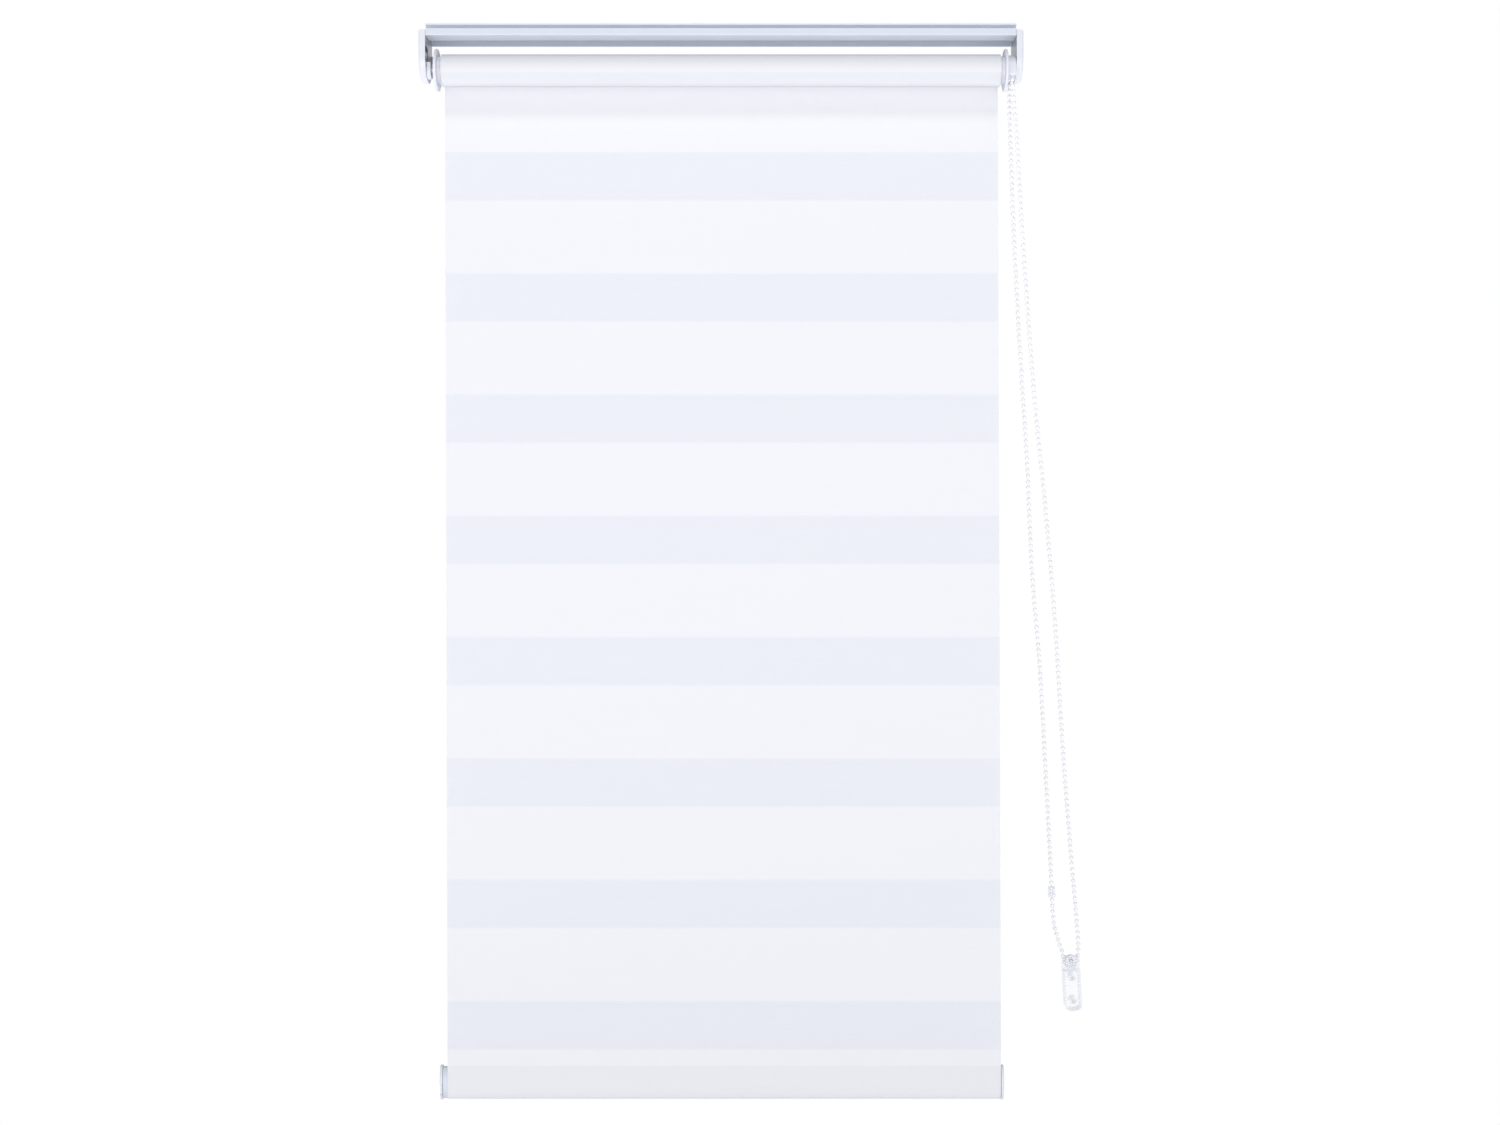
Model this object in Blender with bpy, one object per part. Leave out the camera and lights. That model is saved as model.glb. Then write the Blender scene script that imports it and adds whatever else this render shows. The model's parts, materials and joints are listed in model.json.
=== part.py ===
"""Zebra roller blind on an open headrail, worked by a bead chain on the right.

Metres, +Z up, +X to the right. The wall is the plane Y = 0 and the room is on the -Y side.
The origin is on the headrail's back face, RAIL_FOOT above its lower edge, at the middle of the blind's width.
"""
import math

import bmesh
import bpy
from mathutils import Vector

# Clearances between pieces
GAP = 0.0003
RUN = 0.0006

# Overall sizes
RAIL_LENGTH = 0.600
FABRIC_WIDTH = 0.570
ROLLER_DROP = 0.0366
BAR_DROP = 1.0765
ROLLER_FROM_WALL = 0.029

# Headrail section
RAIL_DEPTH = 0.045
RAIL_HEIGHT = 0.0119
RAIL_FOOT = 0.0046
RAIL_WALL = 0.0015
RAIL_FLOOR = 0.0027
GROOVE_DEPTH = 0.0045
GROOVE_TOP = 0.0058
LIP_THICK = 0.0014
LIP_WIDTH = 0.007
RECESS_FRONT = 0.024
NOSE_ROUND = 0.0006
BROW_ROUND = 0.0004
CHIN_ROUND = 0.0012

# Brackets
BRACKET_TOP = 0.0014
BRACKET_DEPTH = 0.045
BRACKET_BOTTOM = 0.048
PLATE_THICK = 0.0016
COVER_THICK = 0.007
COVER_RIM = 0.0015
COVER_POCKET = 0.0042
COVER_ROUND = 0.0028
TONGUE_LENGTH = 0.030
TONGUE_THICK = 0.002
TONGUE_TOP = 0.0004
TONGUE_PLAY = 0.001
SLOT_ENTRY_DROP = 0.017

# Roller and wound fabric
TUBE_RADIUS = 0.014
TUBE_WALL = 0.0012
TUBE_OVERHANG = 0.0005
KEY_WIDTH = 0.0036
KEY_DEPTH = 0.0024
ROLL_RADIUS = 0.0164
FABRIC_THICK = 0.0004
DISC_RADIUS = 0.0215
DISC_THICK = 0.0026
DISC_EDGE = 0.0005
DISC_FROM_FABRIC = 0.004
PLUG_LENGTH = 0.037
PLUG_SHOULDER = 0.0012

# Idle end
PIN_RADIUS = 0.003
PIN_TAIL_RADIUS = 0.0025
PIN_COLLAR_RADIUS = 0.0045
PIN_COLLAR_WIDTH = 0.002
PIN_POINT = 0.0006
PIN_PAST_PLATE = 0.0011
PIN_TRAVEL = 0.0075
BUSH_RADIUS = 0.0075
BUSH_CHAMBER_RADIUS = 0.0052
BUSH_FLANGE_RADIUS = 0.0095
BUSH_FLANGE_WIDTH = 0.0015
BUSH_FRONT_WALL = 0.0046
BUSH_BACK_WALL = 0.002
BUSH_TO_PLUG_END = 0.0035
BUSH_BACK_HOLE = 0.001
CRADLE_RADIUS = 0.009
CRADLE_WIDTH = 0.004
CRADLE_LIP = 0.0066
IDLE_SPRING_RADIUS = 0.0039
IDLE_SPRING_WIRE = 0.0004
IDLE_SPRING_TURNS = 9

# Drive end
BEAD_RADIUS = 0.00225
BEAD_CORD_RADIUS = 0.0007
BEAD_PITCH = 0.006
POCKETS = 12
CORD_PLAY = 0.0004
SPROCKET_WIDTH = 0.0052
SPROCKET_BEARING = 0.0035
CORE_RADIUS = 0.005
CORE_FLANGE_RADIUS = 0.0095
CORE_PAST_CLIP = 0.002
CORE_SCREW_DEPTH = 0.012
CLIP_FROM_PLUG_END = 0.0075
CLIP_THICK = 0.001
CLIP_WIDTH = 0.0018
CLIP_SEAT = 0.001
CLIP_MOUTH = 35
SHANK_SIDE = 0.007
CLUTCH_SPRING_WIRE = 0.0005
CLUTCH_SPRING_RADIUS = 0.0058
CLUTCH_SPRING_TURNS = 5
CLUTCH_SPRING_LENGTH = 0.008
CLUTCH_SPRING_STATIONS = (0.004, 0.0137)
TANG_OFFSET = 0.0025
SLEEVE_WALL = 0.0013
SLEEVE_FROM_PLUG_END = 0.0135
SLEEVE_SLOT = 0.007
RIB_WIDTH = 0.0026
RIB_FROM_TUBE_END = 0.0005
RIB_PLAY = 0.002
HUB_WALL = 0.0012
GUARD_WALL = 0.0009
GUARD_PLAY = 0.0004
GUARD_DROP = 0.0116
GUARD_CORNER = 0.007
SCREW_RADIUS = 0.0015
SCREW_HEAD_RADIUS = 0.0030
SCREW_HEAD_HEIGHT = 0.0017
SCREW_HEAD_BEVEL = (0.0006, 0.0005)

# Rear fabric bar
REAR_BAR_FROM_WALL = 0.0024
REAR_BAR_THICK = 0.0022
REAR_BAR_TOP = 0.018
REAR_BAR_HEIGHT = 0.012
HOLDER_WALL = 0.0012
HOLDER_LENGTH = 0.0101
HOLDER_FLOOR = 0.0015

# Bottom bar
BAR_HALF_DEPTH = 0.006
BAR_HALF_HEIGHT = 0.0165
BAR_WALL = 0.0012
BAR_SPARE = 0.0055
FABRIC_SWAY = 0.003
CAP_RIM = 0.0015
CAP_THICK = 0.0029
CAP_PLUG = 0.012
CAP_EDGE = 0.0007
NOTCH_WIDTH = 0.0022
NOTCH_DEPTH = 0.005
NOTCH_FROM_MIDDLE = (0.0125, 0.001)
LOOP_ABOVE_BAR = 0.002

# Chain tensioner, in its own frame with the wheel's centre at zero
TENSIONER_X = 0.361
TENSIONER_Z = -0.951
TENSIONER_LEAN = math.radians(-3.0)
TENSIONER_HALF_WIDTH = 0.0087
TENSIONER_DEPTH = 0.0126
TENSIONER_TOP = 0.004
TENSIONER_LENGTH = 0.0553
TENSIONER_WALL = 0.0018
CHEEK_THICK = 0.0028
WHEEL_POCKETS = 7
WHEEL_FLANGE_RADIUS = 0.0054
WHEEL_FLANGE = 0.0006
AXLE_RADIUS = 0.0015
SCREW_HOLE_RADIUS = 0.0019
SCREW_BOSS_RADIUS = 0.0040
SCREW_HOLE_DROPS = (0.0213, 0.0450)
FOOT_ROUND = 0.0065
SHOULDER_ROUND = 0.002

# Chain: the points chosen for its two strands, from the sprocket down and back up
STRAND_TOP = -0.0452
JOINER_SPOT = (0.3412, -0.0083, -0.8800)
JOINER_LEAN = (-0.0031, -0.0012, 0.0580)
JOINER_SLEEVE = ((0.0055, 0.0032), (0.0047, 0.0038))
CHAIN_CLOSENESS = 0.027
WHEEL_STEPS = 5
FRONT_STRAND = [
    (0.2961, -0.0405, STRAND_TOP), (0.2968, -0.0403, -0.0560), (0.3005, -0.0386, -0.1010),
    (0.3095, -0.0338, -0.2360), (0.3210, -0.0288, -0.3780), (0.3325, -0.0247, -0.4860),
    (0.3432, -0.0203, -0.6070), (0.3508, -0.0160, -0.7200), (0.3592, -0.0120, -0.8250),
    (0.3668, -0.0084, -0.9060), (0.3690, -0.0068, -0.9380)]
BACK_STRAND = [
    (0.3522, -0.0066, -0.9420), (0.3475, -0.0070, -0.9280), (0.3430, -0.0077, -0.9080), JOINER_SPOT,
    (0.3399, -0.0089, -0.8500), (0.3355, -0.0098, -0.7700), (0.3290, -0.0110, -0.6540),
    (0.3205, -0.0122, -0.5500), (0.3152, -0.0135, -0.4380), (0.3075, -0.0148, -0.3200),
    (0.3010, -0.0160, -0.1980), (0.2972, -0.0171, -0.1010), (0.2962, -0.0175, -0.0560),
    (0.2961, -0.0175, STRAND_TOP)]

# Worked out from the sizes above
HALF_RAIL = RAIL_LENGTH / 2
HALF_FABRIC = FABRIC_WIDTH / 2
RAIL_TOP = RAIL_HEIGHT - RAIL_FOOT
CHAMBER_ROOF = RAIL_FLOOR - RAIL_WALL
CHAMBER_BACK = -RECESS_FRONT - RAIL_WALL
TONGUE_FRONT = -RAIL_DEPTH + RAIL_WALL + TONGUE_PLAY
TONGUE_BACK = CHAMBER_BACK - TONGUE_PLAY
TONGUE_SCREW_X = HALF_RAIL - TONGUE_LENGTH / 2
TONGUE_SCREW_Y = (TONGUE_FRONT + TONGUE_BACK) / 2
TONGUE_SCREW_LENGTH = RAIL_FLOOR + TONGUE_TOP + TONGUE_THICK + GAP
AXIS_Y = -ROLLER_FROM_WALL
AXIS_Z = -ROLLER_DROP
PLATE_X = HALF_RAIL + GAP
PLATE_OUT = PLATE_X + PLATE_THICK
TUBE_END = HALF_FABRIC + TUBE_OVERHANG
DISC_IN = HALF_FABRIC + DISC_FROM_FABRIC
DISC_OUT = DISC_IN + DISC_THICK
PLUG_IN = TUBE_END - PLUG_LENGTH
PIN_TIP = -PLATE_OUT - PIN_PAST_PLATE
BUSH_MOUTH = -DISC_OUT - RUN
CHAMBER_START = -DISC_OUT + BUSH_FRONT_WALL
CHAMBER_END = -PLUG_IN + BUSH_TO_PLUG_END
PIN_COLLAR = CHAMBER_START + GAP
CLIP_X = PLUG_IN + CLIP_FROM_PLUG_END
SLEEVE_END = PLUG_IN + SLEEVE_FROM_PLUG_END
RIB_END = TUBE_END - RIB_FROM_TUBE_END
TUBE_BORE = TUBE_RADIUS - TUBE_WALL
KEY_FLOOR = KEY_DEPTH - TUBE_RADIUS
PITCH_RADIUS = POCKETS * BEAD_PITCH / (2 * math.pi)
WHEEL_PITCH_RADIUS = WHEEL_POCKETS * BEAD_PITCH / (2 * math.pi)
CORE_FLANGE_X = PLATE_X - 4 * GAP
SPROCKET_OUT = CORE_FLANGE_X - GAP
SPROCKET_IN = SPROCKET_OUT - SPROCKET_WIDTH
CHAIN_X = (SPROCKET_OUT + SPROCKET_IN) / 2
SLEEVE_BORE = CLUTCH_SPRING_RADIUS + CLUTCH_SPRING_WIRE + GAP
SLEEVE_RADIUS = SLEEVE_BORE + SLEEVE_WALL
HUB_BORE = SLEEVE_RADIUS + GAP
HUB_NECK_RADIUS = HUB_BORE + HUB_WALL
GUARD_BORE = PITCH_RADIUS + BEAD_RADIUS + GUARD_PLAY
GUARD_RADIUS = GUARD_BORE + GUARD_WALL
SHEET_BACK_Y = AXIS_Y + ROLL_RADIUS + GAP + FABRIC_THICK / 2
HEM_Y = -REAR_BAR_FROM_WALL - REAR_BAR_THICK - GAP - FABRIC_THICK / 2
BAR_Y = (SHEET_BACK_Y + HEM_Y) / 2
BAR_Z = -BAR_DROP
PANEL_BOTTOM = BAR_Z + BAR_HALF_HEIGHT + LOOP_ABOVE_BAR + GAP
HEM_BOTTOM = -REAR_BAR_TOP - REAR_BAR_HEIGHT
LOOP_GAP = GAP + FABRIC_THICK / 2
THROAT_DEPTH = WHEEL_PITCH_RADIUS + BEAD_RADIUS + RUN
POCKET_TOP = -THROAT_DEPTH - TENSIONER_WALL
AXIS_ORIGIN = (0.0, AXIS_Y, AXIS_Z)
BAR_ORIGIN = (0.0, BAR_Y, BAR_Z)
HERE = (0.0, 0.0, 0.0)

WHITE = (0.86, 0.87, 0.89)
OFF_WHITE = (0.80, 0.82, 0.86)
STEEL = (0.55, 0.56, 0.58)
ALUMINIUM = (0.75, 0.76, 0.78)
CLEAR = (0.80, 0.84, 0.90)
NYLON = (0.70, 0.70, 0.68)


def clear_scene():
    """Empty the scene that the script starts in."""
    for item in list(bpy.data.objects):
        bpy.data.objects.remove(item, do_unlink=True)


def finish(name, bm, origin, colour, roughness, metallic, turn=0.0):
    """Turn a bmesh drawn about its origin into a placed object with its own material."""
    bmesh.ops.recalc_face_normals(bm, faces=bm.faces)
    mesh = bpy.data.meshes.new(name)
    bm.to_mesh(mesh)
    bm.free()
    mesh.shade_smooth()
    mesh.set_sharp_from_angle(angle=math.radians(32))
    item = bpy.data.objects.new(name, mesh)
    item.location = origin
    item.rotation_euler = (0.0, turn, 0.0)
    bpy.context.scene.collection.objects.link(item)
    paint(item, colour, roughness, metallic)
    return item


def paint(item, colour, roughness, metallic):
    """Give an object its own Principled material."""
    material = bpy.data.materials.new(item.name)
    material.use_nodes = True
    shader = material.node_tree.nodes["Principled BSDF"]
    shader.inputs["Base Color"].default_value = (*colour, 1.0)
    shader.inputs["Roughness"].default_value = roughness
    shader.inputs["Metallic"].default_value = metallic
    item.data.materials.append(material)


def arc(centre, radius, start, end, steps):
    """Points on a circle from one angle to another, in degrees, both ends included."""
    points = []
    for step in range(steps + 1):
        angle = math.radians(start + (end - start) * step / steps)
        points.append((centre[0] + radius * math.cos(angle), centre[1] + radius * math.sin(angle)))
    return points


def circle(centre, radius, steps):
    """A closed round outline."""
    return arc(centre, radius, 0, 360, steps)[:-1]


def ellipse(centre, half_u, half_v, steps=48):
    """A closed oval outline."""
    return [(centre[0] + half_u * u, centre[1] + half_v * v) for u, v in circle((0, 0), 1, steps)]


def box_outline(u_low, u_high, v_low, v_high):
    """A closed rectangular outline."""
    return [(u_low, v_low), (u_high, v_low), (u_high, v_high), (u_low, v_high)]


def place(u, v, w, axis):
    """Point with (u, v) across the axis and w along it: (u, v) is (y, z), (x, z) or (x, y)."""
    if axis == "X":
        return (w, u, v)
    if axis == "Y":
        return (u, w, v)
    return (u, v, w)


def prism(loops, axis, start, end):
    """Extrude an outline, with any further loops as holes, from one station to another."""
    bm = bmesh.new()
    edges = []
    for loop in loops:
        verts = [bm.verts.new(place(u, v, start, axis)) for u, v in loop]
        for first, second in zip(verts, verts[1:] + verts[:1]):
            edges.append(bm.edges.new((first, second)))
    filled = bmesh.ops.triangle_fill(bm, use_beauty=True, edges=edges)
    faces = [item for item in filled["geom"] if isinstance(item, bmesh.types.BMFace)]
    pushed = bmesh.ops.extrude_face_region(bm, geom=faces, use_keep_orig=True)
    moved = [item for item in pushed["geom"] if isinstance(item, bmesh.types.BMVert)]
    bmesh.ops.translate(bm, verts=moved, vec=Vector(place(0, 0, end - start, axis)))
    return bm


def lofted(rings, axis):
    """Join outlines of equal point count at growing stations into one closed skin.

    Each ring is (station, outline); the first and last rings are closed by flat ends.
    """
    bm = bmesh.new()
    rows = [[bm.verts.new(place(u, v, w, axis)) for u, v in outline] for w, outline in rings]
    count = len(rows[0])
    for low, high in zip(rows, rows[1:]):
        for k in range(count):
            after = (k + 1) % count
            bm.faces.new((low[k], low[after], high[after], high[k]))
    bm.faces.new(rows[0])
    bm.faces.new(rows[-1])
    return bm


def turned(outline, axis, steps=48):
    """Spin a closed (station, radius) outline about an axis through the origin."""
    bm = bmesh.new()
    verts = [bm.verts.new(place(radius, 0, station, axis)) for station, radius in outline]
    edges = [bm.edges.new(pair) for pair in zip(verts, verts[1:] + verts[:1])]
    bmesh.ops.spin(
        bm, geom=verts + edges, cent=(0, 0, 0), axis=place(0, 0, 1, axis),
        dvec=(0, 0, 0), angle=2 * math.pi, steps=steps, use_merge=True)
    bmesh.ops.remove_doubles(bm, verts=bm.verts, dist=1e-6)
    flat = [face for face in bm.faces if face.calc_area() < 1e-14]
    bmesh.ops.delete(bm, geom=flat, context="FACES")
    loose = [edge for edge in bm.edges if not edge.link_faces]
    bmesh.ops.delete(bm, geom=loose, context="EDGES")
    return bm


def boolean(item, bm, operation, origin, turn=0.0):
    """Cut a shape from an object, or join a shape to it, with a hidden helper object."""
    helper = finish(item.name + "_" + operation.lower(), bm, origin, WHITE, 0.5, 0.0, turn)
    helper.hide_render = True
    helper.display_type = "WIRE"
    step = item.modifiers.new(operation, "BOOLEAN")
    step.operation = operation
    step.solver = "EXACT"
    step.object = helper


def tube(name, points, radius, colour, roughness, resolution=2):
    """A round bar along a list of points, with filled ends."""
    curve = bpy.data.curves.new(name, "CURVE")
    curve.dimensions = "3D"
    curve.bevel_depth = radius
    curve.bevel_resolution = resolution
    curve.render_resolution_u = 0
    curve.use_fill_caps = True
    spline = curve.splines.new("POLY")
    spline.points.add(len(points) - 1)
    for k, point in enumerate(points):
        spline.points[k].co = (*point, 1.0)
    item = bpy.data.objects.new(name, curve)
    bpy.context.scene.collection.objects.link(item)
    paint(item, colour, roughness, 0.0)
    return item


def helix(start, end, radius, first, sweep, count):
    """Points round the roller's axis from one station to another, from a first angle through a sweep."""
    points = []
    for k in range(count + 1):
        angle = math.radians(first + sweep * k / count)
        points.append(Vector((start + (end - start) * k / count, AXIS_Y + radius * math.cos(angle),
                              AXIS_Z + radius * math.sin(angle))))
    return points


def smooth_curve(points, closeness):
    """Read points from a Catmull-Rom curve through a route, no further apart than closeness."""
    route = [Vector(point) for point in points]
    route = [2 * route[0] - route[1]] + route + [2 * route[-1] - route[-2]]
    read = []
    for a, b, c, d in zip(route, route[1:], route[2:], route[3:]):
        count = max(1, math.ceil((c - b).length / closeness))
        for step in range(count):
            t = step / count
            read.append(0.5 * (2 * b + (c - a) * t + (2 * a - 5 * b + 4 * c - d) * t ** 2
                               + (3 * b - a - 3 * c + d) * t ** 3))
    read.append(route[-2])
    return read


def make_headrail():
    """Aluminium rail: an open channel with clip lips over a closed front chamber and an open rear recess."""
    low = -RAIL_FOOT
    depth = -RAIL_DEPTH
    wall_front = depth + GROOVE_DEPTH
    lip_low = RAIL_TOP - LIP_THICK
    nose = arc((depth + NOSE_ROUND, RAIL_TOP - NOSE_ROUND), NOSE_ROUND, 90, 180, 3)
    brow = arc((depth + BROW_ROUND, RAIL_FLOOR - BROW_ROUND), BROW_ROUND, 90, 180, 3)
    chin = arc((depth + CHIN_ROUND, low + CHIN_ROUND), CHIN_ROUND, 180, 270, 5)
    outer = [(0, low), (0, RAIL_TOP), (-LIP_WIDTH, RAIL_TOP), (-LIP_WIDTH, lip_low), (-RAIL_WALL, lip_low),
             (-RAIL_WALL, RAIL_FLOOR), (wall_front + RAIL_WALL, RAIL_FLOOR),
             (wall_front + RAIL_WALL, lip_low), (depth + LIP_WIDTH, lip_low), (depth + LIP_WIDTH, RAIL_TOP)]
    outer += nose + [(depth, GROOVE_TOP), (wall_front, GROOVE_TOP), (wall_front, RAIL_FLOOR)] + brow + chin
    outer += [(-RECESS_FRONT, low), (-RECESS_FRONT, CHAMBER_ROOF), (-RAIL_WALL, CHAMBER_ROOF),
              (-RAIL_WALL, low)]
    chamber = box_outline(depth + RAIL_WALL, CHAMBER_BACK, low + RAIL_WALL, CHAMBER_ROOF)
    rail = finish("headrail", prism([outer, chamber], "X", -HALF_RAIL, HALF_RAIL), HERE, WHITE, 0.35, 0.0)
    for side in (-1, 1):
        hole = prism([circle((side * TONGUE_SCREW_X, TONGUE_SCREW_Y), SCREW_RADIUS + GAP, 20)], "Z",
                     CHAMBER_ROOF - GAP, RAIL_FLOOR + GAP)
        boolean(rail, hole, "DIFFERENCE", HERE)


def bracket_outline(inset):
    """Bracket side view in (y, z): straight top, full round lower end, shrunk by an inset."""
    radius = BRACKET_DEPTH / 2
    centre_z = -BRACKET_BOTTOM + radius
    top = BRACKET_TOP - inset
    outline = arc((-radius, centre_z), radius - inset, 180, 360, 28)
    return outline + [(-inset, top), (-BRACKET_DEPTH + inset, top)]


def make_cover(side, name):
    """White cap with a rounded outer edge and a pocket over the plate."""
    outer = PLATE_X + COVER_THICK
    rings = [(side * PLATE_X, bracket_outline(0.0))]
    for angle in (0, 22.5, 45, 67.5, 90):
        sink = COVER_ROUND * (1 - math.cos(math.radians(angle)))
        station = outer - COVER_ROUND * (1 - math.sin(math.radians(angle)))
        rings.append((side * station, bracket_outline(sink)))
    cover = finish(name, lofted(rings, "X"), HERE, WHITE, 0.4, 0.0)
    pocket = prism([bracket_outline(COVER_RIM)], "X", side * (PLATE_X - GAP), side * (PLATE_X + COVER_POCKET))
    boolean(cover, pocket, "DIFFERENCE", HERE)


def make_plate(side, name):
    """Steel bracket plate with a flat tongue that slides into the rail's lower chamber."""
    section = prism([bracket_outline(COVER_RIM + GAP)], "X", side * PLATE_X, side * PLATE_OUT)
    plate = finish(name, section, HERE, STEEL, 0.4, 0.9)
    inside = box_outline(TONGUE_FRONT, TONGUE_BACK, -TONGUE_TOP - TONGUE_THICK, -TONGUE_TOP)
    tongue = prism([inside], "X", side * (HALF_RAIL - TONGUE_LENGTH), side * (PLATE_X + PLATE_THICK / 2))
    boolean(plate, tongue, "UNION", HERE)
    hole = prism([circle((side * TONGUE_SCREW_X, TONGUE_SCREW_Y), SCREW_RADIUS + GAP, 20)], "Z",
                 -TONGUE_TOP - 2 * TONGUE_THICK, 0.0)
    boolean(plate, hole, "DIFFERENCE", HERE)
    return plate


def make_left_plate():
    """Idle plate with an L-shaped slot: in from the front edge, then down to the pin's seat."""
    plate = make_plate(-1, "bracket_plate_left")
    half = PIN_RADIUS + GAP
    entry = -SLOT_ENTRY_DROP
    slot = [(-BRACKET_DEPTH, entry + half), (AXIS_Y + half, entry + half)]
    slot += arc((AXIS_Y, AXIS_Z), half, 0, -180, 12)
    slot += [(AXIS_Y - half, entry - half), (-BRACKET_DEPTH, entry - half)]
    boolean(plate, prism([slot], "X", -PLATE_OUT - GAP, -PLATE_X + GAP), "DIFFERENCE", HERE)


def make_right_plate():
    """Drive plate with a square hole for the winder core's shank."""
    plate = make_plate(1, "bracket_plate_right")
    half = SHANK_SIDE / 2 + GAP
    square = box_outline(AXIS_Y - half, AXIS_Y + half, AXIS_Z - half, AXIS_Z + half)
    boolean(plate, prism([square], "X", PLATE_X - GAP, PLATE_OUT + GAP), "DIFFERENCE", HERE)


def screw_outline(tip, head):
    """Lathe outline of a pan-head screw, from its tip's station to the underside of its head."""
    top = head + SCREW_HEAD_HEIGHT
    bevel_in, bevel_down = SCREW_HEAD_BEVEL
    return [(tip, 0.0), (tip, SCREW_RADIUS), (head, SCREW_RADIUS), (head, SCREW_HEAD_RADIUS),
            (top - bevel_down, SCREW_HEAD_RADIUS), (top, SCREW_HEAD_RADIUS - bevel_in), (top, 0.0)]


def make_tongue_screw(side, name):
    """Pan-head screw from the rail's channel down through the tongue."""
    spot = (side * TONGUE_SCREW_X, TONGUE_SCREW_Y, RAIL_FLOOR + GAP)
    finish(name, turned(screw_outline(-TONGUE_SCREW_LENGTH, 0.0), "Z", 20), spot, STEEL, 0.3, 1.0)


def make_idle_cradle():
    """Plastic cradle on the left plate that the idle pin drops into from above."""
    half = PIN_RADIUS + GAP
    lip = AXIS_Z + CRADLE_LIP
    shape = arc((AXIS_Y, AXIS_Z), CRADLE_RADIUS, -180, 0, 24) + [(AXIS_Y + CRADLE_RADIUS, lip)]
    shape += [(AXIS_Y + half, lip)] + arc((AXIS_Y, AXIS_Z), half, 0, -180, 12)
    shape += [(AXIS_Y - half, lip), (AXIS_Y - CRADLE_RADIUS, lip)]
    solid = prism([shape], "X", -HALF_RAIL, -HALF_RAIL + CRADLE_WIDTH)
    finish("idle_pin_cradle", solid, HERE, OFF_WHITE, 0.45, 0.0)


def make_idle_end():
    """Spring-loaded pin, its bush and spring, and the plug with the fabric disc."""
    collar_end = PIN_COLLAR + PIN_COLLAR_WIDTH
    pin_tail = CHAMBER_END - PIN_TRAVEL - PIN_TAIL_RADIUS
    pin = [(PIN_TIP, 0.0), (PIN_TIP, PIN_RADIUS - PIN_POINT), (PIN_TIP + PIN_POINT, PIN_RADIUS),
           (PIN_COLLAR, PIN_RADIUS), (PIN_COLLAR, PIN_COLLAR_RADIUS), (collar_end, PIN_COLLAR_RADIUS),
           (collar_end, PIN_TAIL_RADIUS), (pin_tail, PIN_TAIL_RADIUS), (pin_tail, 0.0)]
    finish("idle_pin", turned(pin, "X", 28), AXIS_ORIGIN, STEEL, 0.3, 1.0)
    flange = BUSH_MOUTH - BUSH_FLANGE_WIDTH
    back = CHAMBER_END + BUSH_BACK_WALL
    bush = [(flange, PIN_RADIUS + GAP), (flange, BUSH_FLANGE_RADIUS), (BUSH_MOUTH, BUSH_FLANGE_RADIUS),
            (BUSH_MOUTH, BUSH_RADIUS), (back, BUSH_RADIUS), (back, BUSH_BACK_HOLE),
            (CHAMBER_END, BUSH_BACK_HOLE), (CHAMBER_END, BUSH_CHAMBER_RADIUS),
            (CHAMBER_START, BUSH_CHAMBER_RADIUS), (CHAMBER_START, PIN_RADIUS + GAP)]
    finish("idle_bush", turned(bush, "X", 28), AXIS_ORIGIN, NYLON, 0.4, 0.0)
    start = collar_end + IDLE_SPRING_WIRE + GAP
    end = CHAMBER_END - IDLE_SPRING_WIRE - GAP
    coil = helix(start, end, IDLE_SPRING_RADIUS, 0.0, 360.0 * IDLE_SPRING_TURNS, 12 * IDLE_SPRING_TURNS)
    tube("idle_spring", coil, IDLE_SPRING_WIRE, STEEL, 0.3, resolution=1)
    plug = finish("idle_plug", turned(plug_outline(BUSH_RADIUS + GAP, 0.0), "X", 60), AXIS_ORIGIN, OFF_WHITE,
                  0.45, 0.0)
    cut_key(plug, -1)


def plug_outline(bore, neck, side=-1):
    """Lathe outline of a tube plug with its fabric disc; neck is the radius of an outer neck, or zero."""
    body = TUBE_BORE - GAP
    stop = TUBE_END + GAP
    shape = [(PLUG_IN, bore), (PLUG_IN, body), (stop, body), (stop, body + PLUG_SHOULDER),
             (DISC_IN, body + PLUG_SHOULDER), (DISC_IN, DISC_RADIUS - DISC_EDGE),
             (DISC_IN + DISC_EDGE, DISC_RADIUS), (DISC_OUT - DISC_EDGE, DISC_RADIUS),
             (DISC_OUT, DISC_RADIUS - DISC_EDGE)]
    if neck:
        shape += [(DISC_OUT, neck), (SPROCKET_IN - GAP, neck), (SPROCKET_IN - GAP, bore)]
    else:
        shape += [(DISC_OUT, bore)]
    return [(side * station, radius) for station, radius in shape]


def cut_key(item, side):
    """Cut the slot that lets a plug slide over the tube's inner key rib."""
    half = KEY_WIDTH / 2 + TUBE_WALL + GAP
    slot = box_outline(-half, half, -TUBE_RADIUS, KEY_FLOOR + TUBE_WALL + GAP)
    ends = sorted((side * (PLUG_IN - GAP), side * (TUBE_END + GAP)))
    boolean(item, prism([slot], "X", *ends), "DIFFERENCE", AXIS_ORIGIN)


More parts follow.
